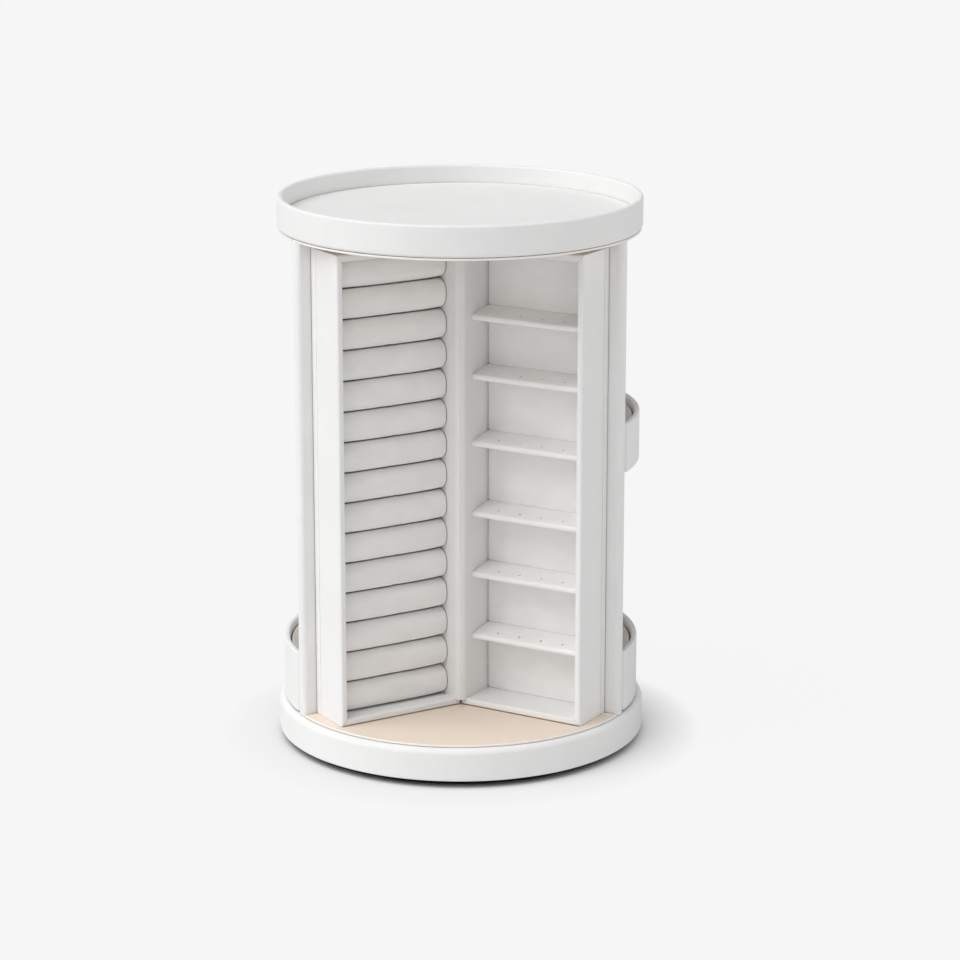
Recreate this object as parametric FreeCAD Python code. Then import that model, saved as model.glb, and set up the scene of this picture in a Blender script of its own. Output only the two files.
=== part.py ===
"""Rotating jewelry box: a round tower of three niches on a ball-bearing turntable.

Units are millimetres. +Z is up, the origin is the middle of the floor under the foot,
and the front niche with the two leaning display trays faces -Y.
"""
import FreeCAD, Part
import math
import os

from FreeCAD import Vector

# Overall sizes
base_radius = 80.0
base_height = 14.2
base_top_round = 2.6
base_bottom_round = 1.6
foot_gap = 3.0
niche_height = 206.1
tower_setback = 2.6
top_overhang = 0.5
top_height = 13.45
top_lower_round = 2.2

# Top tray
rim_wall = 2.6
rim_round = 1.15
top_board_thickness = 4.45
top_pad_thickness = 1.0
top_pad_gap = 0.2

# Inlays
inlay_thickness = 1.1
inlay_edge_gap = 0.3

# Dividers
vee_angle = 31.0
divider_thickness = 5.7
divider_setback = 2.05
divider_edge_round = 2.2

# Foot and turntable
foot_setback = 6.0
foot_thickness = 3.8
foot_edge_round = 0.6
pad_radius = 6.0
pad_height = 1.4
pad_proud = 0.8
pad_edge_round = 0.25
pad_setback = 12.0
pad_count = 6
pad_start_angle = 30.0
recess_gap = 1.5
race_inner_radius = 24.0
race_outer_radius = 52.0
race_thickness = 1.5
ball_radius = 2.0
ball_circle = 42.0
ball_count = 16
ball_seat_depth = 0.7
ball_clearance = 0.05
cage_thickness = 0.8
cage_width = 6.4
pivot_radius = 4.0
pivot_clearance = 0.05
pivot_flange_radius = 8.0
pivot_flange_thickness = 1.2
pivot_engagement = 3.6
pivot_bore_spare = 0.5
pivot_shank_radius = 2.5
pivot_tip_round = 0.5
race_screw_circle = 30.0
race_screw_count = 4
race_screw_radius = 1.5
race_screw_head_radius = 2.75
race_screw_head_height = 1.0
lower_race_screw_length = 2.8
upper_race_screw_length = 4.0
screw_clearance = 0.05

# Screws that hold the dividers between base and top
divider_screw_radius = 1.5
divider_screw_head_radius = 2.6
divider_screw_head_height = 1.6
divider_screw_bite = 12.0
divider_screw_inner = 20.0
divider_screw_setback = 17.4

# Display trays
tray_corner_setback = 3.28
tray_inner_depth = 18.6
tray_back_thickness = 3.55
tray_wall = 2.8
tray_floor = 3.0
tray_top_gap = 2.25
tray_back_gap = 0.3
tray_edge_round = 1.0
tray_mouth_round = 0.5

# Ring rolls
roll_count = 15
roll_gap = 0.1
roll_crown_depth = 5.8
roll_end_gap = 0.3
roll_end_drop = 0.45
roll_back_gap = 0.3
roll_round = 1.2

# Earring shelves, with the heights of the bays from the tray floor up
shelf_bays = (30.3, 27.8, 27.1, 31.1, 29.3, 25.8, 26.5)
shelf_thickness = 2.6
shelf_recess = 4.3
shelf_tilt = 8.0
shelf_end_gap = 0.1
shelf_back_gap = 0.1
post_hole_radius = 0.6
post_hole_count = 4
post_hole_pitch = 10.6
post_hole_setback = 4.5

# Curved drawers
lower_drawer_height = 26.9
middle_drawer_height = 21.6
middle_drawer_level = 124.4
drawer_wall = 2.3
drawer_floor = 2.6
drawer_side_length = 10.1
drawer_side_gap = 0.6
drawer_running_gap = 0.6
drawer_corner_round = 2.0
drawer_rim_round = 0.9
liner_gap = 0.9
liner_wall = 1.0
liner_floor = 1.0
liner_drop = 2.8
liner_seat_gap = 0.1
runner_width = 6.0
runner_height = 1.4
runner_side_gap = 0.25
runner_seat_gap = 0.2
runner_front_setback = 9.0
runner_back_spare = 2.0

# Middle shelf
middle_shelf_thickness = 4.0
middle_shelf_setback = 5.4

# Hook rails
rail_distance = 26.0
rail_depth = 5.0
rail_height = 9.0
rail_end_gap = 0.1
rail_edge_round = 0.8
hook_count = 5
hook_pitch = 15.0
hook_wire_radius = 0.8
hook_tip_radius = 1.2
hook_reach = 6.5
hook_bend_radius = 2.4
hook_rise = 2.0
hook_flange_radius = 2.0
hook_flange_thickness = 0.6
hook_bite = 3.0
hook_drop = 6.2
hook_clearance = 0.05

# Most of a wall's thickness that a round may take, on one edge or on both
one_edge_share = 0.9
both_edges_share = 0.45

# Radii that follow from the base
tower_radius = base_radius - tower_setback
top_radius = tower_radius + top_overhang
foot_radius = base_radius - foot_setback
pad_circle = foot_radius - pad_setback
divider_screw_outer = tower_radius - divider_screw_setback

# Levels that follow from the sizes above
base_bottom = foot_gap
base_top = base_bottom + base_height
front_floor = base_top + inlay_thickness
ceiling = front_floor + niche_height
top_bottom = ceiling + inlay_thickness
top_level = top_bottom + top_height
foot_bottom = pad_proud
foot_top = foot_bottom + foot_thickness
lower_race_top = foot_top + race_thickness
ball_level = lower_race_top - ball_seat_depth + ball_radius
upper_race_bottom = ball_level + ball_radius - ball_seat_depth
recess_top = upper_race_bottom + race_thickness
tray_bottom = front_floor
tray_top = ceiling - tray_top_gap
tray_depth = tray_inner_depth + tray_back_thickness

# Plan directions: the front dividers run down to left and right of the vee
left_run = 180.0 + vee_angle
right_run = -vee_angle
rear_run = 90.0
left_rear_middle = (left_run + rear_run) / 2.0
right_rear_middle = (right_run + rear_run) / 2.0
vee_cosine = math.cos(math.radians(vee_angle))
vee_sine = math.sin(math.radians(vee_angle))

# The trays meet at the apex, and their outer front corners stay inside the tower's radius
tray_apex_y = -(tray_depth + tray_back_gap - divider_setback) / vee_cosine
tray_corner_radius = tower_radius - tray_corner_setback
tray_face_width = (tray_apex_y * vee_sine
                   + math.sqrt(tray_corner_radius ** 2 - (tray_apex_y * vee_cosine) ** 2))

UP = Vector(0, 0, 1)
CENTRE = Vector(0, 0, 0)

# Size of the blocks that trim other shapes, and the distance at which two points agree
reach = 4.0 * base_radius
same_place = 1e-4


def heading(azimuth):
    """Unit vector in plan at an azimuth in degrees."""
    angle = math.radians(azimuth)
    return Vector(math.cos(angle), math.sin(angle), 0)


def ring(outer, inner, bottom, height):
    """Flat ring about the Z axis."""
    disc = Part.makeCylinder(outer, height, Vector(0, 0, bottom))
    return disc.cut(Part.makeCylinder(inner, height, Vector(0, 0, bottom)))


def beyond(shape, normal_azimuth, offset):
    """Keep what lies past a vertical plane, on the side its normal points to."""
    block = Part.makeBox(reach, 2 * reach, 2 * reach, Vector(offset, -reach, -reach))
    block.rotate(CENTRE, UP, normal_azimuth)
    return shape.common(block)


def wedge(radius, bottom, height, sides):
    """Disc slice cut by vertical planes, each given as (normal azimuth, offset)."""
    middle = sum((heading(azimuth) for azimuth, offset in sides), Vector(0, 0, 0))
    shape = Part.makeCylinder(radius, height, Vector(0, 0, bottom))
    shape.rotate(CENTRE, UP, math.degrees(math.atan2(-middle.y, -middle.x)))
    for azimuth, offset in sides:
        shape = beyond(shape, azimuth, offset)
    return shape


def is_vertical(edge):
    """True for a straight edge along Z."""
    if not isinstance(edge.Curve, Part.Line):
        return False
    return abs(edge.Curve.Direction.z) > 1.0 - same_place


def edge_middle(edge):
    """Point halfway along an edge."""
    return edge.valueAt((edge.FirstParameter + edge.LastParameter) / 2.0)


def round_edges(shape, radius, wanted):
    """Fillet the edges for which wanted(edge) is true."""
    edges = [edge for edge in shape.Edges if wanted(edge)]
    return shape.makeFillet(radius, edges)


def at_level(edge, level):
    """True for an edge that lies flat at one height."""
    box = edge.BoundBox
    return abs(box.ZMin - level) < same_place and abs(box.ZMax - level) < same_place


def circle_of(count, radius, start=0.0):
    """Points spaced evenly round a circle, as plan vectors."""
    step = 360.0 / count
    return [heading(start + step * number) * radius for number in range(count)]


def front_sides(clearance):
    """Planes of the front niche: the inner faces of the two front dividers."""
    offset = clearance - divider_setback
    return [(right_run - 90.0, offset), (left_run + 90.0, offset)]


def rear_sides(side, clearance):
    """Planes of a rear niche: the back of a front divider and the rear divider."""
    back_offset = divider_setback + divider_thickness + clearance
    rear_offset = divider_thickness / 2.0 + clearance
    if side == "left":
        return [(left_run - 90.0, back_offset), (rear_run + 90.0, rear_offset)]
    return [(right_run + 90.0, back_offset), (rear_run - 90.0, rear_offset)]


def rear_middle(side):
    """Azimuth down the middle of a rear niche."""
    return left_rear_middle if side == "left" else right_rear_middle


def rear_corner(side):
    """Plan point where the two walls of a rear niche meet."""
    x = divider_thickness / 2.0
    wall = divider_setback + divider_thickness
    y = (wall - x * vee_sine) / vee_cosine
    return Vector(-x if side == "left" else x, y, 0)


def corner_offset(side):
    """How far the corner of a rear niche lies along the niche's middle direction."""
    return rear_corner(side).dot(heading(rear_middle(side)))


# Foot and turntable

def foot_pad_points():
    """Centres of the rubber pads."""
    return circle_of(pad_count, pad_circle, pad_start_angle)


def make_foot_plate():
    """Round foot with pockets for the pads and bores for the pivot and screws."""
    plate = Part.makeCylinder(foot_radius, foot_thickness, Vector(0, 0, foot_bottom))
    plate = round_edges(plate, foot_edge_round, lambda edge: at_level(edge, foot_bottom))
    for point in foot_pad_points():
        pocket = Part.makeCylinder(pad_radius, pad_height - pad_proud, point + UP * foot_bottom)
        plate = plate.cut(pocket)
    plate = plate.cut(Part.makeCylinder(pivot_shank_radius + screw_clearance, foot_thickness,
                                        Vector(0, 0, foot_bottom)))
    for point in circle_of(race_screw_count, race_screw_circle):
        depth = lower_race_screw_length + screw_clearance
        hole = Part.makeCylinder(race_screw_radius + screw_clearance, depth,
                                 point + UP * (foot_top - depth))
        plate = plate.cut(hole)
    return plate


def make_foot_pads():
    """Rubber pads under the foot."""
    pads = []
    for point in foot_pad_points():
        pad = Part.makeCylinder(pad_radius, pad_height, point)
        pads.append(round_edges(pad, pad_edge_round, lambda edge: at_level(edge, 0.0)))
    return Part.makeCompound(pads)


def ball_groove():
    """Ring-shaped track that the balls run in."""
    return Part.makeTorus(ball_circle, ball_radius + ball_clearance, Vector(0, 0, ball_level), UP)


def make_lower_race():
    """Pressed steel ring on the foot, with its half of the ball track."""
    race = ring(race_outer_radius, race_inner_radius, foot_top, race_thickness)
    race = race.cut(ball_groove())
    for point in circle_of(race_screw_count, race_screw_circle):
        race = race.cut(Part.makeCylinder(race_screw_radius + screw_clearance, race_thickness,
                                          point + UP * foot_top))
    return race


def make_upper_race():
    """Steel ring under the base disc, with the other half of the ball track."""
    race = ring(race_outer_radius, race_inner_radius, upper_race_bottom, race_thickness)
    race = race.cut(ball_groove())
    for point in upper_race_screw_points():
        race = race.cut(Part.makeCylinder(race_screw_radius + screw_clearance, race_thickness,
                                          point + UP * upper_race_bottom))
    return race


def upper_race_screw_points():
    """Centres of the upper race screws, turned halfway between the lower ones."""
    return circle_of(race_screw_count, race_screw_circle, 180.0 / race_screw_count)


def make_lower_race_screws():
    """Pan-head screws through the lower race into the foot."""
    screws = []
    for point in circle_of(race_screw_count, race_screw_circle):
        length = race_thickness + lower_race_screw_length
        shank = Part.makeCylinder(race_screw_radius, length, point + UP * (lower_race_top - length))
        head = Part.makeCylinder(race_screw_head_radius, race_screw_head_height,
                                 point + UP * lower_race_top)
        screws.append(shank.fuse(head).removeSplitter())
    return Part.makeCompound(screws)


def make_upper_race_screws():
    """Pan-head screws up through the upper race into the base disc."""
    screws = []
    for point in upper_race_screw_points():
        length = race_thickness + upper_race_screw_length
        shank = Part.makeCylinder(race_screw_radius, length, point + UP * upper_race_bottom)
        head = Part.makeCylinder(race_screw_head_radius, race_screw_head_height,
                                 point + UP * (upper_race_bottom - race_screw_head_height))
        screws.append(shank.fuse(head).removeSplitter())
    return Part.makeCompound(screws)


def make_balls():
    """Steel balls of the turntable."""
    centres = circle_of(ball_count, ball_circle)
    return Part.makeCompound([Part.makeSphere(ball_radius, point + UP * ball_level)
                              for point in centres])


def make_cage():
    """Thin ring that keeps the balls apart."""
    bottom = ball_level - cage_thickness / 2.0
    cage = ring(ball_circle + cage_width / 2.0, ball_circle - cage_width / 2.0,
                bottom, cage_thickness)
    for point in circle_of(ball_count, ball_circle):
        cage = cage.cut(Part.makeCylinder(ball_radius + ball_clearance, cage_thickness,
                                          point + UP * bottom))
    return cage


def make_pivot():
    """Turned pin that centres the tower: a shank in the foot, a flange and a journal."""
    shank = Part.makeCylinder(pivot_shank_radius, foot_thickness, Vector(0, 0, foot_bottom))
    flange = Part.makeCylinder(pivot_flange_radius, pivot_flange_thickness, Vector(0, 0, foot_top))
    journal_top = recess_top + pivot_engagement
    journal = Part.makeCylinder(pivot_radius, journal_top - foot_top, Vector(0, 0, foot_top))
    journal = round_edges(journal, pivot_tip_round, lambda edge: at_level(edge, journal_top))
    return shank.fuse(flange).fuse(journal).removeSplitter()


# Base disc, dividers and inlays

def divider_runs():
    """For each divider: its azimuth and the offset of its middle plane to its left."""
    middle = divider_setback + divider_thickness / 2.0
    return {"left": (left_run, -middle), "right": (right_run, middle), "rear": (rear_run, 0.0)}


def divider_screw_points():
    """Centres of the screws in the dividers, in plan."""
    points = []
    for run, side_offset in divider_runs().values():
        across = heading(run + 90.0)
        for distance in (divider_screw_inner, divider_screw_outer):
            points.append(heading(run) * distance + across * side_offset)
    return points


def screw_shape(point, level, upward, length, extra):
    """Countersunk screw, or its hole when extra is more than nothing."""
    direction = UP if upward else UP * -1
    start = Vector(point.x, point.y, level)
    shank = Part.makeCylinder(divider_screw_radius + extra, length + extra, start, direction)
    head = Part.makeCone(divider_screw_head_radius + extra, divider_screw_radius + extra,
                         divider_screw_head_height, start, direction)
    return shank.fuse(head)


def divider_screw_shapes(extra):
    """All divider screws: up through the base disc and down through the top board."""
    base_length = base_top - recess_top + divider_screw_bite
    top_length = top_board_thickness + divider_screw_bite
    board_top = top_bottom + top_board_thickness
    shapes = []
    for point in divider_screw_points():
        shapes.append(screw_shape(point, recess_top, True, base_length, extra))
        shapes.append(screw_shape(point, board_top, False, top_length, extra))
    return shapes


def cut_screws(shape):
    """Drill a piece for the divider screws that pass through it."""
    for hole in divider_screw_shapes(screw_clearance):
        shape = shape.cut(hole)
    return shape


def make_divider_screws():
    """Wood screws that hold the dividers."""
    return Part.makeCompound([screw.removeSplitter() for screw in divider_screw_shapes(0.0)])


def make_base_disc():
    """Wrapped round base with rounded edges and a recess for foot and turntable."""
    disc = Part.makeCylinder(base_radius, base_height, Vector(0, 0, base_bottom))
    disc = round_edges(disc, base_top_round, lambda edge: at_level(edge, base_top))
    disc = round_edges(disc, base_bottom_round, lambda edge: at_level(edge, base_bottom))
    recess_height = recess_top - base_bottom
    disc = disc.cut(Part.makeCylinder(foot_radius + recess_gap, recess_height,
                                      Vector(0, 0, base_bottom)))
    disc = disc.cut(Part.makeCylinder(pivot_radius + pivot_clearance,
                                      pivot_engagement + pivot_bore_spare,
                                      Vector(0, 0, recess_top)))
    for point in upper_race_screw_points():
        disc = disc.cut(Part.makeCylinder(race_screw_radius + screw_clearance,
                                          upper_race_screw_length + screw_clearance,
                                          point + UP * recess_top))
    return cut_screws(disc)


def divider_board(run, side_offset, start):
    """Upright board along a run, with its outer edges rounded."""
    height = top_bottom - base_top
    length = tower_radius - start
    corner = Vector(start, side_offset - divider_thickness / 2.0, base_top)
    board = Part.makeBox(length, divider_thickness, height, corner)
    edge_round = min(divider_edge_round, both_edges_share * divider_thickness)
    board = round_edges(board, edge_round,
                        lambda edge: is_vertical(edge)
                        and abs(edge_middle(edge).x - tower_radius) < same_place)
    board.rotate(CENTRE, UP, run)
    return board


def front_divider(side):
    """Front divider, mitred where it meets the other one."""
    run, side_offset = divider_runs()[side]
    mitre_overrun = 2.0 * divider_thickness
    board = divider_board(run, side_offset, -mitre_overrun)
    outward = 180.0 if side == "left" else 0.0
    return beyond(board, outward, 0.0)


def make_rear_divider():
    """Rear divider, notched over the mitred front pair."""
    run, side_offset = divider_runs()["rear"]
    board = divider_board(run, side_offset, rear_corner("right").y)
    return board.cut(front_divider("left")).cut(front_divider("right"))


def make_front_floor_inlay():
    """Card inlay on the floor of the front niche."""
    return wedge(tower_radius, base_top, inlay_thickness, front_sides(inlay_edge_gap))


def make_front_ceiling_inlay():
    """Card inlay on the ceiling of the front niche."""
    return wedge(tower_radius, ceiling, inlay_thickness, front_sides(inlay_edge_gap))


def make_rear_ceiling_inlay(side):
    """Card inlay on the ceiling of a rear niche."""
    return wedge(tower_radius, ceiling, inlay_thickness, rear_sides(side, inlay_edge_gap))


# Top tray

def make_top_board():
    """Board that closes the tower and carries the top tray's floor."""
    board = Part.makeCylinder(top_radius - rim_wall, top_board_thickness, Vector(0, 0, top_bottom))
    return cut_screws(board)


def make_top_rim():
    """Wrapped ring wall of the top tray, rounded above and below."""
    rim = ring(top_radius, top_radius - rim_wall, top_bottom, top_height)
    lower_round = min(top_lower_round, one_edge_share * rim_wall)
    upper_round = min(rim_round, both_edges_share * rim_wall)
    rim = round_edges(rim, lower_round,
                      lambda edge: at_level(edge, top_bottom)
                      and abs(edge.BoundBox.XMax - top_radius) < same_place)
    return round_edges(rim, upper_round, lambda edge: at_level(edge, top_level))


def make_top_pad():
    """Soft leather floor of the top tray."""
    level = top_bottom + top_board_thickness
    radius = top_radius - rim_wall - top_pad_gap
    pad = Part.makeCylinder(radius, top_pad_thickness, Vector(0, 0, level))
    return round_edges(pad, top_pad_thickness / 2.0,
                       lambda edge: at_level(edge, level + top_pad_thickness))


# Display trays, made lying along local axes: X along the face from the middle of the vee,
# Y from the face towards the back, Z up

def place_tray(shape, side):
    """Move a piece from the tray's local axes to its place in the front niche."""
    if side == "left":
        shape = shape.mirror(CENTRE, Vector(1, 0, 0))
        shape.rotate(CENTRE, UP, vee_angle)
    else:
        shape.rotate(CENTRE, UP, -vee_angle)
    shape.translate(Vector(0, tray_apex_y, 0))
    return shape


def inside_mouth(point):
    """True for a point on the inner edge of a tray's mouth, in local axes."""
    across = tray_wall - same_place < point.x < tray_face_width - tray_wall + same_place
    bottom = tray_bottom + tray_floor - same_place
    top = tray_top - tray_floor + same_place
    return across and bottom < point.z < top


def make_tray_frame(side):
    """Four-sided wrapped frame, soft at its outer corners and front edges."""
    height = tray_top - tray_bottom
    outer = Part.makeBox(tray_face_width, tray_inner_depth, height, Vector(0, 0, tray_bottom))
    outer = round_edges(outer, tray_edge_round,
                        lambda edge: abs(edge_middle(edge).y) < same_place)
    inner = Part.makeBox(tray_face_width - 2 * tray_wall, tray_inner_depth,
                         height - 2 * tray_floor,
                         Vector(tray_wall, 0, tray_bottom + tray_floor))
    frame = outer.cut(inner)
    frame = round_edges(frame, tray_mouth_round,
                        lambda edge: abs(edge_middle(edge).y) < same_place
                        and inside_mouth(edge_middle(edge)))
    return place_tray(frame, side)


def make_tray_back(side):
    """Flat back panel of a tray."""
    panel = Part.makeBox(tray_face_width, tray_back_thickness, tray_top - tray_bottom,
                         Vector(0, tray_inner_depth, tray_bottom))
    return place_tray(panel, side)


def roll_pitch():
    """Height of one ring roll with its gap."""
    return (tray_top - tray_bottom - 2 * tray_floor) / roll_count


def make_ring_roll(number):
    """Padded roll: a crowned barrel, a little slimmer at its ends, flat at the back."""
    radius = roll_pitch() / 2.0 - roll_gap / 2.0
    level = tray_bottom + tray_floor + roll_pitch() * (number + 0.5)
    depth = roll_crown_depth + radius
    start = tray_wall + roll_end_gap
    end = tray_face_width - tray_wall - roll_end_gap
    middle = (start + end) / 2.0
    end_radius = radius - roll_end_drop
    soft = min(roll_round, both_edges_share * end_radius)
    crown = Part.Arc(Vector(start + soft, end_radius, 0), Vector(middle, radius, 0),
                     Vector(end - soft, end_radius, 0)).toShape()
    half = soft * math.sqrt(0.5)
    left_round = Part.Arc(Vector(start, end_radius - soft, 0),
                          Vector(start + soft - half, end_radius - soft + half, 0),
                          Vector(start + soft, end_radius, 0)).toShape()
    right_round = Part.Arc(Vector(end - soft, end_radius, 0),
                           Vector(end - soft + half, end_radius - soft + half, 0),
                           Vector(end, end_radius - soft, 0)).toShape()
    outline = Part.Wire([
        Part.makeLine(Vector(start, 0, 0), Vector(start, end_radius - soft, 0)),
        left_round,
        crown,
        right_round,
        Part.makeLine(Vector(end, end_radius - soft, 0), Vector(end, 0, 0)),
        Part.makeLine(Vector(end, 0, 0), Vector(start, 0, 0)),
    ])
    roll = Part.Face(outline).revolve(Vector(0, 0, 0), Vector(1, 0, 0), 360)
    roll.translate(Vector(0, depth, level))
    back = tray_inner_depth - roll_back_gap
    keep = Part.makeBox(reach, back, reach, Vector(0, 0, 0))
    return place_tray(roll.common(keep), "left")


def shelf_levels():
    """Height of each shelf's top at its back edge."""
    inner_height = tray_top - tray_bottom - 2 * tray_floor
    scale = inner_height / sum(shelf_bays)
    levels = []
    level = tray_bottom + tray_floor
    for bay in shelf_bays[:-1]:
        level += bay * scale
        levels.append(level)
    return levels


def make_earring_shelf(number):
    """Thin shelf with a round nose and a row of post holes, tipped towards the front."""
    level = shelf_levels()[number]
    start = tray_wall + shelf_end_gap
    width = tray_face_width - 2 * tray_wall - 2 * shelf_end_gap
    back = tray_inner_depth - shelf_back_gap
    shelf = Part.makeBox(width, back - shelf_recess, shelf_thickness,
                         Vector(start, shelf_recess, level - shelf_thickness))
    shelf = round_edges(shelf, both_edges_share * shelf_thickness,
                        lambda edge: abs(edge_middle(edge).y - shelf_recess) < same_place
                        and not is_vertical(edge))
    first = (tray_face_width - post_hole_pitch * (post_hole_count - 1)) / 2.0
    for hole in range(post_hole_count):
        place = Vector(first + hole * post_hole_pitch, shelf_recess + post_hole_setback,
                       level - shelf_thickness)
        shelf = shelf.cut(Part.makeCylinder(post_hole_radius, shelf_thickness, place))
    shelf.rotate(Vector(0, back, level), Vector(1, 0, 0), shelf_tilt)
    keep = Part.makeBox(reach, back, reach, Vector(0, 0, 0))
    return place_tray(shelf.common(keep), "right")


# Curved drawers in the rear niches

def drawer_back(side):
    """How far a drawer's back wall lies along the niche's middle direction."""
    x = divider_thickness / 2.0 + drawer_side_gap
    y = math.sqrt(tower_radius ** 2 - x ** 2) - drawer_side_length
    return Vector(-x if side == "left" else x, y, 0).dot(heading(rear_middle(side)))


def drawer_region(side, inset, bottom, height):
    """Upright slice with the plan of a drawer, drawn in by an inset on every side."""
    shape = wedge(tower_radius - inset, bottom, height, rear_sides(side, drawer_side_gap + inset))
    return beyond(shape, rear_middle(side), drawer_back(side) + inset)


def runner_shape(side, bottom, height, extra):
    """Low guide bar down the middle of a rear niche, or its groove with extra room."""
    back = drawer_back(side) - runner_back_spare
    front = tower_radius - runner_front_setback + extra
    bar = Part.makeBox(front - back, runner_width + 2 * extra, height,
                       Vector(back, -runner_width / 2.0 - extra, bottom))
    bar.rotate(CENTRE, UP, rear_middle(side))
    return bar


def make_drawer(side, bottom, height):
    """Open curved drawer with soft corners, a rounded rim and a groove for its runner."""
    outer = drawer_region(side, 0.0, bottom, height)
    outer = round_edges(outer, drawer_corner_round, is_vertical)
    inner = drawer_region(side, drawer_wall, bottom + drawer_floor, height)
    drawer = outer.cut(inner)
    top = bottom + height
    edge_round = min(drawer_rim_round, both_edges_share * drawer_wall)
    drawer = round_edges(drawer, edge_round, lambda edge: at_level(edge, top))
    groove_depth = runner_height - drawer_running_gap + runner_seat_gap
    groove = runner_shape(side, bottom, groove_depth, runner_side_gap)
    return drawer.cut(groove)


def make_drawer_liner(side, bottom, height):
    """Thin lined tray that drops into a drawer."""
    floor_level = bottom + drawer_floor + liner_seat_gap
    liner_height = height - drawer_floor - liner_seat_gap - liner_drop
    inset = drawer_wall + liner_gap
    outer = drawer_region(side, inset, floor_level, liner_height)
    inner = drawer_region(side, inset + liner_wall, floor_level + liner_floor, liner_height)
    return outer.cut(inner)


def make_runner(side, shelf_level):
    """Guide bar glued to the surface that a drawer slides on."""
    return runner_shape(side, shelf_level, runner_height, 0.0)


def make_middle_shelf():
    """Set-back shelf that carries the middle drawer."""
    top = middle_drawer_level - drawer_running_gap
    return wedge(tower_radius - middle_shelf_setback, top - middle_shelf_thickness,
                 middle_shelf_thickness, rear_sides("right", 0.0))


# Hook rails

def rail_face(side):
    """Distance of a rail's front face along the middle of its niche."""
    return corner_offset(side) + rail_distance + rail_depth


def make_hook_rail(side):
    """Wrapped bar across the top of a rear niche, bored for its hooks."""
    bottom = ceiling - rail_height
    shape = wedge(tower_radius, bottom, rail_height, rear_sides(side, rail_end_gap))
    shape = beyond(shape, rear_middle(side), rail_face(side) - rail_depth)
    shape = beyond(shape, rear_middle(side) + 180.0, -rail_face(side))
    middle = heading(rear_middle(side))
    shape = round_edges(shape, rail_edge_round,
                        lambda edge: at_level(edge, bottom)
                        and abs(edge_middle(edge).dot(middle) - rail_face(side)) < 1e-4)
    for start in hook_points(side):
        bore = Part.makeCylinder(hook_wire_radius + hook_clearance, hook_bite + hook_clearance,
                                 start, middle * -1)
        shape = shape.cut(bore)
    return shape


def hook_points(side):
    """Points on the front face of a rail where its hooks stand."""
    middle = heading(rear_middle(side))
    across = heading(rear_middle(side) + 90.0)
    centre = rear_corner(side).dot(across)
    level = ceiling - hook_drop
    first = -hook_pitch * (hook_count - 1) / 2.0
    points = []
    for number in range(hook_count):
        sideways = centre + first + number * hook_pitch
        points.append(middle * rail_face(side) + across * sideways + UP * level)
    return points


def make_hook(start, outward):
    """Wire hook: a shank in the rail, a flange, a reach, an upward bend and a round tip."""
    shank = Part.makeCylinder(hook_wire_radius, hook_bite + hook_reach,
                              start - outward * hook_bite, outward)
    flange = Part.makeCylinder(hook_flange_radius, hook_flange_thickness, start, outward)
    bend_start = start + outward * hook_reach
    bend_centre = bend_start + UP * hook_bend_radius
    section = Part.Face(Part.Wire(Part.makeCircle(hook_wire_radius, bend_start, outward)))
    sideways = outward.cross(UP)
    bend = section.revolve(bend_centre, sideways, 90)
    tip_start = bend_centre + outward * hook_bend_radius
    rise = Part.makeCylinder(hook_wire_radius, hook_rise, tip_start, UP)
    knob = Part.makeSphere(hook_tip_radius, tip_start + UP * hook_rise)
    return shank.fuse(flange).fuse(bend).fuse(rise).fuse(knob).removeSplitter()


def make_hooks(side):
    """All the hooks on one rail."""
    outward = heading(rear_middle(side))
    return Part.makeCompound([make_hook(start, outward) for start in hook_points(side)])


def build():
    """Make every piece and return them by name."""
    lower_level = base_top + drawer_running_gap
    parts = {
        "foot_plate": make_foot_plate(),
        "foot_pads": make_foot_pads(),
        "bearing_lower_race": make_lower_race(),
        "bearing_upper_race": make_upper_race(),
        "bearing_balls": make_balls(),
        "bearing_cage": make_cage(),
        "lower_race_screws": make_lower_race_screws(),
        "upper_race_screws": make_upper_race_screws(),
        "centre_pivot": make_pivot(),
        "base_disc": make_base_disc(),
        "front_left_divider": cut_screws(front_divider("left")),
        "front_right_divider": cut_screws(front_divider("right")),
        "rear_divider": cut_screws(make_rear_divider()),
        "divider_screws": make_divider_screws(),
        "front_floor_inlay": make_front_floor_inlay(),
        "front_ceiling_inlay": make_front_ceiling_inlay(),
        "left_ceiling_inlay": make_rear_ceiling_inlay("left"),
        "right_ceiling_inlay": make_rear_ceiling_inlay("right"),
        "top_board": make_top_board(),
        "top_rim": make_top_rim(),
        "top_pad": make_top_pad(),
        "ring_tray_frame": make_tray_frame("left"),
        "ring_tray_back": make_tray_back("left"),
        "earring_tray_frame": make_tray_frame("right"),
        "earring_tray_back": make_tray_back("right"),
        "lower_left_drawer": make_drawer("left", lower_level, lower_drawer_height),
        "lower_left_liner": make_drawer_liner("left", lower_level, lower_drawer_height),
        "lower_right_drawer": make_drawer("right", lower_level, lower_drawer_height),
        "lower_right_liner": make_drawer_liner("right", lower_level, lower_drawer_height),
        "middle_drawer": make_drawer("right", middle_drawer_level, middle_drawer_height),
        "middle_liner": make_drawer_liner("right", middle_drawer_level, middle_drawer_height),
        "lower_left_runner": make_runner("left", base_top),
        "lower_right_runner": make_runner("right", base_top),
        "middle_runner": make_runner("right", middle_drawer_level - drawer_running_gap),
        "middle_shelf": make_middle_shelf(),
        "left_hook_rail": make_hook_rail("left"),
        "right_hook_rail": make_hook_rail("right"),
        "left_hooks": make_hooks("left"),
        "right_hooks": make_hooks("right"),
    }
    for number in range(roll_count):
        parts["ring_roll_%02d" % (number + 1)] = make_ring_roll(number)
    for number in range(len(shelf_bays) - 1):
        parts["earring_shelf_%d" % (number + 1)] = make_earring_shelf(number)
    return parts


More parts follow.
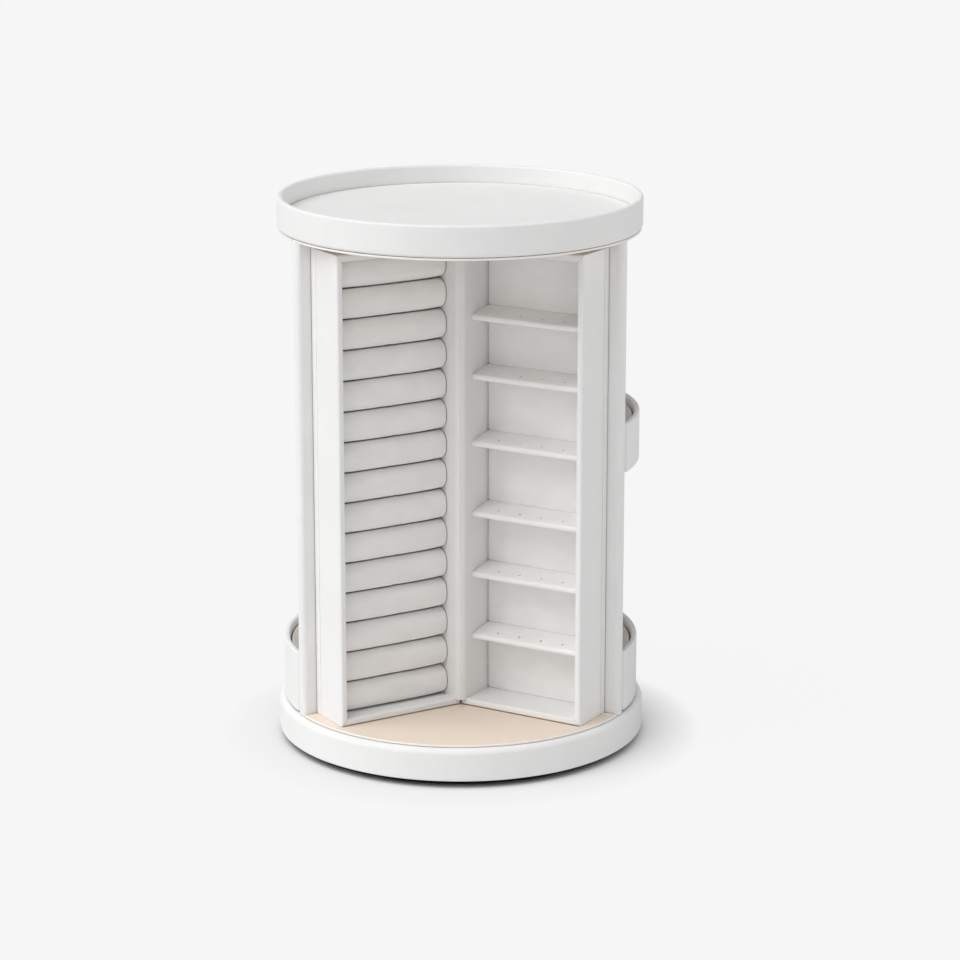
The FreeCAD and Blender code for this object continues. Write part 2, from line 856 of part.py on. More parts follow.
os.makedirs("parts", exist_ok=True)
for name, shape in build().items():
    if not shape.isValid():
        print("invalid", name)
    print(name, len(shape.Solids), round(shape.Volume, 1))
    shape.exportStep("parts/%s.step" % name)
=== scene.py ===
"""Looks of the rotating jewelry box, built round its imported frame.

Lengths are metres, angles are degrees, and +Z is up. The front niche faces -Y.
"""

import logging
import math
from dataclasses import dataclass, field, replace
from enum import Enum
from functools import lru_cache
from typing import Callable, Iterable, Sequence

import bmesh
import bpy
from mathutils import Matrix, Vector, noise


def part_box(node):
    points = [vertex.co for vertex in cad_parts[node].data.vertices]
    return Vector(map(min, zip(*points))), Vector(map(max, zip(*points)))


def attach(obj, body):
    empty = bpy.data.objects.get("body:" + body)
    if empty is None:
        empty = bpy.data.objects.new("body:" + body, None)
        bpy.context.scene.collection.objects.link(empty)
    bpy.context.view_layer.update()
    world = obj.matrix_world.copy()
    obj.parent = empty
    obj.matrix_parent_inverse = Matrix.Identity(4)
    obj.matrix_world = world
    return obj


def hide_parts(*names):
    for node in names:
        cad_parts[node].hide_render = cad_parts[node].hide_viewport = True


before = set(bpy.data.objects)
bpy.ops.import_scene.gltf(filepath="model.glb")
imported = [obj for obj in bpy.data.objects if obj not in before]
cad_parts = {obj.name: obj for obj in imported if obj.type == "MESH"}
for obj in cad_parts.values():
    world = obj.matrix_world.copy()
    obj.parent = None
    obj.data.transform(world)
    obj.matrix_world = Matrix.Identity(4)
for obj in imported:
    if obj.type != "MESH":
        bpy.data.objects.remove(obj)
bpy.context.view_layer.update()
log = logging.getLogger("jewelry_box")

# Unit and directions
MM = 0.001
UP = Vector((0.0, 0.0, 1.0))
REAR = 90.0

# Low and high end of a pattern's values
FULL = (0.0, 1.0)
MIDTONES = (0.35, 0.65)
NARROW_MIDTONES = (0.36, 0.64)
WIDE_MIDTONES = (0.3, 0.7)

# Degrees between the points of an outline
FINE_STEP = 1.5
MEDIUM_STEP = 2.0
COARSE_STEP = 3.0

# Meshes
NO_CIRCLE = 10.0
EDGE_BAND = 1.5 * MM
MERGE_DISTANCE = 1e-7
TINY = 1e-6
SHARP_ANGLE = 32.0
PATTERN_SHIFT = (7.1, 3.7, 5.3)

# Leather-covered cards
CARD_BANDS = (1.6 * MM, 2.2 * MM)
CARD_CORNER = 0.5 * MM
CARD_EDGE_TILT = 0.9

# Materials, with the numbers of the colour sockets on a mix node
CREVICE_SAMPLES = 6
COLOUR_INPUTS = (6, 7)
COLOUR_OUTPUT = 2

Triple = tuple[float, float, float]
Colour = Triple
Span = tuple[float, float]
Profile = list[Span]
Ring = list[Vector]


class Slot(Enum):
    """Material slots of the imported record."""

    WHITE_LEATHER = "white_leather"
    BOARD = "board"
    CREAM_LEATHER = "cream_leather"
    GREY_VELVET = "grey_velvet"
    PALE_SUEDE = "pale_suede"
    BLACK_PLASTIC = "black_plastic"
    BLACK_RUBBER = "black_rubber"
    NYLON = "nylon"
    STEEL = "steel"
    BRASS = "brass"


class Side(Enum):
    """Left or right of the front niche, with the sign of its X."""

    LEFT = -1
    RIGHT = 1


class Body(Enum):
    """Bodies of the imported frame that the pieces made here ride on."""

    TOWER = "tower"
    LOWER_LEFT_DRAWER = "lower_left_drawer_body"
    LOWER_RIGHT_DRAWER = "lower_right_drawer_body"
    MIDDLE_DRAWER = "middle_drawer_body"


class Operation(Enum):
    """Ways to combine two numbers in a node tree."""

    ADD = "ADD"
    MULTIPLY = "MULTIPLY"
    LARGER = "MAXIMUM"


class Tree:
    """A node tree, with short ways to add and join its nodes."""

    def __init__(self, tree: bpy.types.NodeTree) -> None:
        """Start with an empty tree."""
        self.tree = tree
        self.tree.nodes.clear()

    def add(self, kind: str, **inputs: object) -> bpy.types.Node:
        """Add a node and fill its inputs.

        Args:
            kind: The node's type without its ShaderNode prefix.
            **inputs: A value or an output for each named input.

        Returns:
            The new node.
        """
        node = self.tree.nodes.new("ShaderNode" + kind)
        for name, value in inputs.items():
            self.fill(node.inputs[name.replace("_", " ")], value)
        return node

    def fill(self, socket: bpy.types.NodeSocket, value: object) -> None:
        """Link an output to a socket, or set the socket's own value.

        Args:
            socket: The input to fill.
            value: An output socket, a number or a colour.
        """
        if isinstance(value, bpy.types.NodeSocket):
            self.tree.links.new(value, socket)
        elif isinstance(value, tuple) and len(value) == 3 and socket.type == "RGBA":
            socket.default_value = (*value, 1.0)
        else:
            socket.default_value = value

    def combine(self, first: object, second: object,
                operation: Operation = Operation.ADD) -> bpy.types.NodeSocket:
        """Combine two numbers.

        Args:
            first: The first number.
            second: The second number.
            operation: How they are combined.

        Returns:
            The result.
        """
        node = self.add("Math")
        node.operation = operation.value
        self.fill(node.inputs[0], first)
        self.fill(node.inputs[1], second)
        return node.outputs[0]

    def overlay(self, share: object, below: object, above: object) -> bpy.types.NodeSocket:
        """Lay one shader over another.

        Args:
            share: How much of the upper shader shows.
            below: The shader at a share of 0.
            above: The shader at a share of 1.

        Returns:
            The mixed shader.
        """
        node = self.add("MixShader", Fac=share)
        self.fill(node.inputs[1], below)
        self.fill(node.inputs[2], above)
        return node.outputs["Shader"]


class Recipe(Tree):
    """A material in the making: one Principled shader and what feeds it."""

    def __init__(self, name: str) -> None:
        """Start the material.

        Args:
            name: The material's name.
        """
        self.material = bpy.data.materials.new(name)
        self.material.use_nodes = True
        super().__init__(self.material.node_tree)
        self.shader = self.add("BsdfPrincipled")
        self.output = self.add("OutputMaterial", Surface=self.shader.outputs["BSDF"])
        self.place = self.add("TexCoord").outputs["Object"]

    def clouds(self, size: float, detail: float = 2.0,
               stretch: Triple = (1.0, 1.0, 1.0)) -> bpy.types.NodeSocket:
        """Soft noise whose features are about one size.

        Args:
            size: Width of a feature.
            detail: How many finer layers lie on it.
            stretch: How many times longer the features are along each axis.

        Returns:
            The noise's value, about 0.5 on average.
        """
        place = self.add("Mapping", Vector=self.place, Scale=tuple(1.0 / s for s in stretch))
        texture = self.add("TexNoise", Vector=place.outputs["Vector"], Scale=1.0 / size, Detail=detail)
        return texture.outputs["Fac"]

    def cells(self, size: float) -> bpy.types.NodeSocket:
        """Rounded cells, such as a grain's pebbles.

        Args:
            size: Width of a cell.

        Returns:
            The distance from the middle of the nearest cell.
        """
        texture = self.add("TexVoronoi", Vector=self.place, Scale=1.0 / size)
        texture.feature = "SMOOTH_F1"
        return texture.outputs["Distance"]

    def remap(self, value: bpy.types.NodeSocket, source: Span = MIDTONES,
              target: Span = FULL) -> bpy.types.NodeSocket:
        """Map a value from one range to another, clamped.

        Args:
            value: The value to map.
            source: Its lowest and highest value.
            target: What they become.

        Returns:
            The mapped value.
        """
        node = self.add("MapRange", Value=value)
        for name, number in zip(("From Min", "From Max", "To Min", "To Max"), source + target):
            node.inputs[name].default_value = number
        return node.outputs["Result"]

    def blend(self, share: object, first: object, second: object) -> bpy.types.NodeSocket:
        """Mix two colours.

        Args:
            share: How much of the second colour shows.
            first: Colour at a share of 0.
            second: Colour at a share of 1.

        Returns:
            The mixed colour.
        """
        node = self.add("Mix")
        node.data_type = "RGBA"
        self.fill(node.inputs[0], share)
        for number, colour in zip(COLOUR_INPUTS, (first, second)):
            self.fill(node.inputs[number], colour)
        return node.outputs[COLOUR_OUTPUT]

    def paint_crevice_shade(self, reach: float, closed: Span, painted_shade: Colour, colour: object) -> bpy.types.NodeSocket:
        """Paint shade into a colour in crevices, where ambient occlusion finds that little light reaches.

        Args:
            reach: How wide the crevices are.
            closed: How open a point is where the painted shade is full, and where it ends.
            painted_shade: The colour of the painted shade in the crevices.
            colour: The colour in the open.

        Returns:
            The mixed colour.
        """
        node = self.add("AmbientOcclusion", Distance=reach)
        node.samples = CREVICE_SAMPLES
        return self.blend(self.remap(node.outputs["AO"], closed), painted_shade, colour)

    def edges(self, source: Span, wear: float) -> bpy.types.NodeSocket:
        """How worn a point is, up to the given wear on sharp edges."""
        return self.remap(self.add("NewGeometry").outputs["Pointiness"], source, (0.0, wear))

    def relief(self, height: bpy.types.NodeSocket, depth: float) -> None:
        """Raise the surface's small relief by a height from 0 to 1 and its depth."""
        self.fill(self.shader.inputs["Normal"], self.add("Bump", Height=height, Distance=depth).outputs[0])

    def put(self, **values: object) -> None:
        """Set or link named inputs of the shader."""
        for name, value in values.items():
            self.fill(self.shader.inputs[name.replace("_", " ")], value)


def shade(colour: Colour, factor: float) -> Colour:
    """Lighten or darken a colour by a factor, up to white."""
    return tuple(min(1.0, channel * factor) for channel in colour)


@dataclass(frozen=True)
class Finish:
    """What every finish has: its slot, its colour and how rough it is."""

    slot: Slot
    colour: Colour
    roughness: float

    @lru_cache
    def material(self) -> bpy.types.Material:
        """Build the material once.

        Returns:
            The material.
        """
        recipe = Recipe(self.slot.value)
        self.mix(recipe)
        return recipe.material

    def mix(self, recipe: Recipe) -> None:
        """Fill the recipe's shader; each kind of finish has its own way."""
        raise NotImplementedError

    def tones(self, recipe: Recipe, pattern: bpy.types.NodeSocket, shades: Span,
              source: Span = MIDTONES) -> bpy.types.NodeSocket:
        """Vary the finish's colour by a pattern.

        Args:
            recipe: The material in the making.
            pattern: The pattern's value.
            shades: Factors on the colour at the pattern's low and high end.
            source: The pattern's low and high end.

        Returns:
            The varied colour.
        """
        darker, lighter = (shade(self.colour, factor) for factor in shades)
        return recipe.blend(recipe.remap(pattern, source), darker, lighter)

    def rough(self, recipe: Recipe, pattern: bpy.types.NodeSocket, spread: Span) -> bpy.types.NodeSocket:
        """Vary the finish's roughness by a pattern, from the spread's first share to its second."""
        lowest, highest = (self.roughness + part for part in spread)
        return recipe.remap(pattern, WIDE_MIDTONES, (lowest, highest))


@dataclass(frozen=True)
class Leather(Finish):
    """Fine-grained wrapping leather with soft mottling, worn edges and painted shade in its crevices."""

    grain: float = 0.55 * MM
    grain_depth: float = 0.035 * MM
    pebble: Span = (0.0, 0.7)
    fine_grain: float = 0.2 * MM
    fine_share: float = 0.35
    pore_width: Span = (0.25, 0.6)
    pore_share: float = 0.12
    pore_shade: float = 0.86
    mottle: float = 26 * MM
    mottle_shades: Span = (0.985, 1.01)
    polish: float = 3 * MM
    polish_spread: Span = (-0.05, 0.06)
    edge: Colour = (0.90, 0.895, 0.89)
    edge_width: Span = (0.52, 0.60)
    wear: float = 0.5
    # Painted shade: a darker colour laid into crevices that ambient occlusion finds.
    painted_shade: Colour = (0.50, 0.45, 0.40)
    crevice: float = 1.0 * MM
    closed: Span = (0.1, 0.6)

    def mix(self, recipe: Recipe) -> None:
        """Fill the recipe's shader with grain, mottling, edge wear and painted crevice shade.

        Args:
            recipe: The material in the making.
        """
        base = self.tones(recipe, recipe.clouds(self.mottle, detail=3.0), self.mottle_shades)
        pores = recipe.remap(recipe.cells(self.grain), self.pore_width)
        grained = recipe.blend(recipe.remap(pores, FULL, (0.0, self.pore_share)), base,
                               shade(self.colour, self.pore_shade))
        worn = recipe.blend(recipe.edges(self.edge_width, self.wear), grained, self.edge)
        recipe.put(Base_Color=recipe.paint_crevice_shade(self.crevice, self.closed, self.painted_shade, worn),
                   Roughness=self.rough(recipe, recipe.clouds(self.polish, detail=4.0), self.polish_spread),
                   Specular_IOR_Level=0.35, Sheen_Weight=0.04, Sheen_Roughness=0.5)
        fine = recipe.combine(recipe.clouds(self.fine_grain, detail=3.0), self.fine_share,
                              Operation.MULTIPLY)
        raised = recipe.remap(recipe.cells(self.grain), self.pebble, (1.0, 0.0))
        recipe.relief(recipe.combine(raised, fine), self.grain_depth)


@dataclass(frozen=True)
class Pile(Finish):
    """Velvet or suede: short pile with brushed patches, sheen and painted shade in its folds."""

    sheen: float = 0.3
    pile: float = 0.28 * MM
    pile_depth: float = 0.09 * MM
    patch: float = 9 * MM
    patch_stretch: Triple = (2.2, 1.0, 0.8)
    patch_share: float = 0.5
    brushed: float = 0.05
    polish_spread: Span = (-0.04, 0.0)
    fibre_share: float = 0.35
    fibre_shade: float = 0.86
    # Painted shade: a darker colour laid into folds and crevices that ambient occlusion finds.
    painted_shade: Colour = (0.02, 0.018, 0.016)
    crevice: float = 1.1 * MM
    closed: Span = (0.12, 0.6)

    def mix(self, recipe: Recipe) -> None:
        """Fill the recipe's shader with nap, pile and painted shade in its folds.

        Args:
            recipe: The material in the making.
        """
        nap = recipe.clouds(self.patch, detail=3.0, stretch=self.patch_stretch)
        patches = self.tones(recipe, nap, (1.0 - self.brushed, 1.0 + self.brushed / 2.0), NARROW_MIDTONES)
        fibres = recipe.clouds(self.pile)
        furred = recipe.blend(recipe.remap(fibres, MIDTONES, (0.0, self.fibre_share)), patches,
                              shade(self.colour, self.fibre_shade))
        recipe.put(Base_Color=recipe.paint_crevice_shade(self.crevice, self.closed, self.painted_shade, furred),
                   Roughness=self.rough(recipe, fibres, self.polish_spread),
                   Specular_IOR_Level=0.1, Sheen_Weight=self.sheen, Sheen_Roughness=0.45)
        waves = recipe.combine(nap, self.patch_share, Operation.MULTIPLY)
        recipe.relief(recipe.combine(fibres, waves), self.pile_depth)


@dataclass(frozen=True)
class Moulded(Finish):
    """Moulded plastic or rubber with a fine spark-eroded texture and rubbed edges."""

    texture: float = 0.4 * MM
    depth: float = 0.03 * MM
    scuff: float = 6 * MM
    scuff_stretch: Triple = (1.0, 1.0, 2.0)
    edge_width: Span = (0.52, 0.62)
    wear: float = 0.7
    worn_shade: float = 1.6
    polish_spread: Span = (-0.06, 0.06)

    def mix(self, recipe: Recipe) -> None:
        """Fill the recipe's shader with fine texture and scuffed edges.

        Args:
            recipe: The material in the making.
        """
        scuff = recipe.clouds(self.scuff, detail=5.0, stretch=self.scuff_stretch)
        worn = recipe.combine(recipe.edges(self.edge_width, self.wear), scuff, Operation.MULTIPLY)
        recipe.put(Base_Color=recipe.blend(worn, self.colour, shade(self.colour, self.worn_shade)),
                   Roughness=self.rough(recipe, scuff, self.polish_spread))
        recipe.relief(recipe.cells(self.texture), self.depth)


@dataclass(frozen=True)
class Metal(Finish):
    """Drawn or turned metal with fine lines, smudges and painted shade in its hollows."""

    lines: float = 0.12 * MM
    line_stretch: Triple = (30.0, 30.0, 1.0)
    depth: float = 0.006 * MM
    smudge: float = 4 * MM
    smudge_shades: Span = (0.93, 1.04)
    smudge_spread: Span = (0.0, 0.1)
    polish_spread: Span = (0.0, 0.08)
    hollow: float = 1.0 * MM
    hollow_closed: Span = (0.2, 0.8)
    hollow_shade: float = 0.6

    def mix(self, recipe: Recipe) -> None:
        """Fill the recipe's shader with fine lines and smudges.

        Args:
            recipe: The material in the making.
        """
        lines = recipe.clouds(self.lines, stretch=self.line_stretch)
        smudge = recipe.clouds(self.smudge, detail=4.0)
        toned = self.tones(recipe, smudge, self.smudge_shades)
        # The hollows get a darker copy of the colour as painted shade.
        painted_hollow_shade = shade(self.colour, self.hollow_shade)
        rough = recipe.combine(recipe.remap(smudge, WIDE_MIDTONES, self.smudge_spread),
                               self.rough(recipe, lines, self.polish_spread))
        recipe.put(Base_Color=recipe.paint_crevice_shade(self.hollow, self.hollow_closed, painted_hollow_shade, toned), Metallic=1.0,
                   Roughness=rough)
        recipe.relief(lines, self.depth)


@dataclass(frozen=True)
class Fibreboard(Finish):
    """Pressed fibreboard with short fibres of two tones."""

    fibre: float = 0.5 * MM
    fibre_stretch: Triple = (3.0, 1.0, 0.5)
    fibre_shades: Span = (0.75, 1.15)
    fibre_depth: float = 0.05 * MM
    polish_spread: Span = (0.0, 0.1)

    def mix(self, recipe: Recipe) -> None:
        """Fill the recipe's shader with pressed fibres.

        Args:
            recipe: The material in the making.
        """
        fibres = recipe.clouds(self.fibre, detail=5.0, stretch=self.fibre_stretch)
        recipe.put(Base_Color=self.tones(recipe, fibres, self.fibre_shades),
                   Roughness=self.rough(recipe, fibres, self.polish_spread))
        recipe.relief(fibres, self.fibre_depth)


# The crevice colours given to the finishes below are painted shade.
WHITE_LEATHER = Leather(Slot.WHITE_LEATHER, (0.855, 0.852, 0.847), 0.52)
CREAM_LEATHER = Leather(Slot.CREAM_LEATHER, (0.83, 0.71, 0.595), 0.42, grain=0.4 * MM,
                        grain_depth=0.015 * MM, painted_shade=(0.30, 0.19, 0.11), edge=(0.93, 0.905, 0.865), wear=1.0,
                        closed=(0.3, 0.78))
CARD_EDGE = Leather(Slot.CREAM_LEATHER, (0.93, 0.90, 0.86), 0.5, painted_shade=(0.30, 0.19, 0.11), wear=0.2,
                    closed=(0.3, 0.78))
GREY_VELVET = Pile(Slot.GREY_VELVET, (0.90, 0.892, 0.878), 0.95, brushed=0.035)
# The rolls' ends carry a paler painted crevice shade, so the line at the apex stays faint.
ROLL_END_PALER_SHADE = replace(GREY_VELVET, painted_shade=(0.62, 0.61, 0.60))
PALE_SUEDE = Pile(Slot.PALE_SUEDE, (0.915, 0.907, 0.895), 0.92, sheen=0.12, pile=0.2 * MM,
                  pile_depth=0.04 * MM, brushed=0.03, painted_shade=(0.10, 0.09, 0.08), closed=(0.18, 0.56))
BLACK_PLASTIC = Moulded(Slot.BLACK_PLASTIC, (0.022, 0.022, 0.023), 0.5)
BLACK_RUBBER = Moulded(Slot.BLACK_RUBBER, (0.03, 0.03, 0.03), 0.8, texture=0.6 * MM)
NYLON = Moulded(Slot.NYLON, (0.72, 0.71, 0.68), 0.38, texture=0.25 * MM, depth=0.01 * MM)
STEEL = Metal(Slot.STEEL, (0.56, 0.57, 0.58), 0.28)
BRASS = Metal(Slot.BRASS, (0.86, 0.62, 0.30), 0.2)
BOARD = Fibreboard(Slot.BOARD, (0.42, 0.31, 0.20), 0.85)


def heading(azimuth: float) -> Vector:
    """Unit vector in plan at an angle from +X in degrees."""
    angle = math.radians(azimuth)
    return Vector((math.cos(angle), math.sin(angle), 0.0))


@dataclass(frozen=True)
class Wall:
    """Straight side of a region: the azimuth of its inward normal and its offset from the axis.

    Its ease is how far it moves in for each unit of inset.
    """

    azimuth: float
    offset: float
    ease: float = 1.0


@dataclass(frozen=True)
class Region:
    """Convex outline in plan: inside a radius and past every wall."""

    walls: tuple[Wall, ...] = ()
    radius: float = NO_CIRCLE

    def lines(self, inset: float) -> list[tuple[Vector, float]]:
        """Inward normal and offset of each wall, once the region is drawn in by an inset."""
        return [(heading(wall.azimuth), wall.offset + inset * wall.ease) for wall in self.walls]

    def corners(self, inset: float) -> list[Vector]:
        """Points where two walls, or a wall and the circle, meet.

        Args:
            inset: How far the region is drawn in.

        Returns:
            The corners that belong to the region.
        """
        lines = self.lines(inset)
        radius = self.radius - inset
        parallel = 1e-9
        tolerance = 1e-7
        found = []
        for number, (normal, offset) in enumerate(lines):
            along = Vector((-normal.y, normal.x, 0.0))
            reach = math.sqrt(max(0.0, radius ** 2 - offset ** 2))
            found += [normal * offset + along * reach, normal * offset - along * reach]
            for other, other_offset in lines[number + 1:]:
                cross = normal.x * other.y - normal.y * other.x
                if abs(cross) > parallel:
                    found.append(Vector(((offset * other.y - other_offset * normal.y) / cross,
                                         (other_offset * normal.x - offset * other.x) / cross, 0.0)))
        return [point for point in found if point.length < radius + tolerance
                and all(point.dot(n) > o - tolerance for n, o in lines)]

    def outline(self, inset: float, corner: float = 0.0, step: float = COARSE_STEP, parts: int = 12,
                extra: Iterable[float] = ()) -> Ring:
        """Points round the region, always the same number for the same walls.

        Args:
            inset: How far the region is drawn in.
            corner: Radius of its corners.
            step: Degrees between the points on arcs, or 0 for straight sides only.
            parts: How many parts a straight side is divided into.
            extra: Further azimuths that get a point.

        Returns:
            The points, anticlockwise.
        """
        shrink = inset + corner
        lines = self.lines(shrink)
        corners = self.corners(shrink)
        radius = self.radius - shrink
        hair = 1e-4
        stations = [(azimuth, False) for azimuth in extra]
        if step:
            stations += [(number * step, False) for number in range(round(360.0 / step))]
        # Stations a hair to either side of a wall's middle give the two ends of its side.
        for wall in self.walls:
            middle = (wall.azimuth + 180.0) % 360.0
            stations += [((middle - hair) % 360.0, True), ((middle + hair) % 360.0, False)]
        points = []
        for azimuth, flat_follows in sorted(stations):
            direction = heading(azimuth)
            on_circle = direction * radius
            if all(on_circle.dot(n) >= o for n, o in lines):
                best = on_circle
            else:
                best = max(corners, key=direction.dot)
            points.append((best + direction * corner, flat_follows))
        ring = []
        for number, (point, flat_follows) in enumerate(points):
            ring.append(point)
            if flat_follows:
                following = points[(number + 1) % len(points)][0]
                ring += [point.lerp(following, part / parts) for part in range(1, parts)]
        return ring


def arc(inset: float, level: float, radius: float, start: float, end: float, parts: int = 6) -> Profile:
    """Round stretch of a profile.

    Args:
        inset: Inset of the arc's middle.
        level: Level of the arc's middle.
        radius: Its radius.
        start: Its first angle in degrees, where 0 points outward and 90 up.
        end: Its last angle.
        parts: How many parts it has.

    Returns:
        Points as (inset, level).
    """
    points = []
    for number in range(parts + 1):
        angle = math.radians(start + (end - start) * number / parts)
        points.append((inset - radius * math.cos(angle), level + radius * math.sin(angle)))
    return points


def lower_edge(bottom: float, radius: float, parts: int = 6) -> Profile:
    """Rounded edge below a face, from the underside outward."""
    return arc(radius, bottom + radius, radius, -90.0, 0.0, parts)


def upper_edge(top: float, radius: float, parts: int = 6) -> Profile:
    """Rounded edge above a face, from the side to the top."""
    return arc(radius, top - radius, radius, 0.0, 90.0, parts)


def lip(top: float, radius: float, wall: float, parts: int = 6) -> Profile:
    """Top of a thin wall with both edges rounded.

    Args:
        top: Level of its top.
        radius: Radius of its edges.
        wall: Its thickness.
        parts: How many parts each edge has.

    Returns:
        Points as (inset, level), from the outside over the top to the inside.
    """
    inner = arc(wall - radius, top - radius, radius, 90.0, 180.0, parts)
    return upper_edge(top, radius, parts) + inner[1:]


def slab(bottom: float, top: float, lower: float, upper: float, margin: float = EDGE_BAND) -> Profile:
    """Profile of a solid slab with rounded edges.

    Args:
        bottom: Level of its underside.
        top: Level of its top.
        lower: Radius of the lower edge.
        upper: Radius of the upper edge.
        margin: Width of a band on both flat faces, which keeps them flat near the edges.

    Returns:
        Points as (inset, level), from the underside round to the top.
    """
    return ([(lower + margin, bottom)] + lower_edge(bottom, lower)
            + upper_edge(top, upper) + [(upper + margin, top)])


def show(name: str, mesh: bmesh.types.BMesh) -> bpy.types.Object:
    """Put a mesh into the scene as an object.

    Args:
        name: The object's name.
        mesh: Its mesh, which is used up.

    Returns:
        The object.
    """
    data = bpy.data.meshes.new(name)
    mesh.to_mesh(data)
    mesh.free()
    made = bpy.data.objects.new(name, data)
    bpy.context.scene.collection.objects.link(made)
    return made


@dataclass
class Shell:
    """A mesh in the making: rings of points joined into a skin."""

    name: str
    mesh: bmesh.types.BMesh = field(default_factory=bmesh.new)

    def skin(self, rings: Sequence[Ring], closed: bool = False) -> "Shell":
        """Join rings of equal length, and cap the first and the last unless they join too.

        Args:
            rings: The rings, each a closed loop of points.
            closed: Whether the last ring joins the first.

        Returns:
            This shell.
        """
        rows = [[self.mesh.verts.new(point) for point in ring] for ring in rings]
        pairs = list(zip(rows, rows[1:]))
        if closed:
            pairs.append((rows[-1], rows[0]))
        else:
            self.mesh.faces.new(list(reversed(rows[0])))
            self.mesh.faces.new(rows[-1])
        for lower, upper in pairs:
            for number in range(len(lower)):
                following = (number + 1) % len(lower)
                self.mesh.faces.new((lower[number], lower[following], upper[following], upper[number]))
        return self

    def move(self, shift: Callable[[Vector], Vector]) -> "Shell":
        """Move every point by a rule.

        Args:
            shift: Gives a point's new place from its old one.

        Returns:
            This shell.
        """
        for vertex in self.mesh.verts:
            vertex.co = shift(vertex.co)
        return self

    def ripple(self, size: float, seed: float = 0.0, height: float = 0.05 * MM) -> "Shell":
        """Give the skin the slight unevenness of a hand-wrapped surface.

        Args:
            size: Width of a bump.
            seed: Which pattern is used.
            height: How far points move at most.

        Returns:
            This shell.
        """
        self.mesh.normal_update()
        shift = Vector([seed * part for part in PATTERN_SHIFT])
        moved = [vertex.co + vertex.normal * noise.noise(vertex.co / size + shift) * height
                 for vertex in self.mesh.verts]
        for vertex, place in zip(self.mesh.verts, moved):
            vertex.co = place
        return self

    def weld(self) -> None:
        """Join points that meet, and turn every face outward."""
        bmesh.ops.remove_doubles(self.mesh, verts=self.mesh.verts, dist=MERGE_DISTANCE)
        bmesh.ops.recalc_face_normals(self.mesh, faces=self.mesh.faces)

    def piece(self, finish: Finish, body: Body, *nodes: str) -> bpy.types.Object:
        """Turn the shell into a finished piece that stands for CAD nodes.

        Args:
            finish: The piece's finish.
            body: The body that it rides on.
            *nodes: The CAD nodes that it stands for.

        Returns:
            The new object.
        """
        self.weld()
        made = show(self.name, self.mesh)
        data = made.data
        data.shade_smooth()
        data.materials.append(finish.material())
        weighted = made.modifiers.new("even_normals", "WEIGHTED_NORMAL")
        weighted.keep_sharp = True
        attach(made, body.value)
        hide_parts(*nodes)
        log.info("piece %s: %d faces", self.name, len(data.polygons))
        return made


def trim(made: bpy.types.Object, finish: Finish,
         chosen: Callable[[bpy.types.MeshPolygon], bool]) -> None:
    """Give some faces of a piece a second finish.

    Args:
        made: The piece.
        finish: The second finish.
        chosen: Says whether a face gets it.
    """
    made.data.materials.append(finish.material())
    for face in made.data.polygons:
        if chosen(face):
            face.material_index = 1


def pale_edge(card: bpy.types.Object) -> None:
    """Show the pale cut edge of a cream card."""
    trim(card, CARD_EDGE, lambda face: abs(face.normal.z) < CARD_EDGE_TILT)


@dataclass(frozen=True)
class Upholstery:
    """Fabric cover that settles over its foam in a short simulation at an enlarged scale."""

    scale: float = 20.0
    frames: int = 16
    slack: float = 0.012
    pressure: float = 3.0
    reach: float = 0.16 * MM

    def settle(self, shell: Shell, held: Callable[[Vector], bool]) -> None:
        """Let the shell's skin settle, and keep how it moved.

        Args:
            shell: The skin.
            held: Says whether the fabric is glued down at a point.
        """
        shell.weld()
        # The solver is made for clothes, so the cover is enlarged while it settles.
        starts = [vertex.co.copy() for vertex in shell.mesh.verts]
        origin = sum(starts, Vector()) / len(starts)
        cover = show("cover", shell.mesh.copy())
        data = cover.data
        for vertex, start in zip(data.vertices, starts):
            vertex.co = (start - origin) * self.scale
        pins = cover.vertex_groups.new(name="held")
        pins.add([number for number, start in enumerate(starts) if held(start)], 1.0, "REPLACE")
        self.cloth(cover, pins.name)
        scene = bpy.context.scene
        for number in range(1, self.frames + 1):
            scene.frame_set(number)
        settled = cover.evaluated_get(bpy.context.evaluated_depsgraph_get()).data
        ends = [origin + vertex.co / self.scale for vertex in settled.vertices]
        scene.frame_set(1)
        bpy.data.objects.remove(cover)
        bpy.data.meshes.remove(data)
        for vertex, start, end in zip(shell.mesh.verts, starts, ends):
            move = end - start
            if move.length > self.reach:
                move *= self.reach / move.length
            vertex.co = start + move

    def cloth(self, cover: bpy.types.Object, pins: str) -> None:
        """Set up the fabric.

        Args:
            cover: The enlarged skin.
            pins: Group of the points that are glued down.
        """
        modifier = cover.modifiers.new("cloth", "CLOTH")
        modifier.point_cache.frame_start = 1
        modifier.point_cache.frame_end = self.frames
        fabric = modifier.settings
        fabric.quality = 5
        fabric.mass = 0.3
        fabric.tension_stiffness = 20.0
        fabric.compression_stiffness = 20.0
        fabric.shear_stiffness = 10.0
        fabric.bending_stiffness = 1.5
        fabric.shrink_min = -self.slack
        fabric.vertex_group_mass = pins
        fabric.use_pressure = True
        fabric.uniform_pressure_force = self.pressure
        fabric.effector_weights.gravity = 0.0
        modifier.collision_settings.use_collision = False


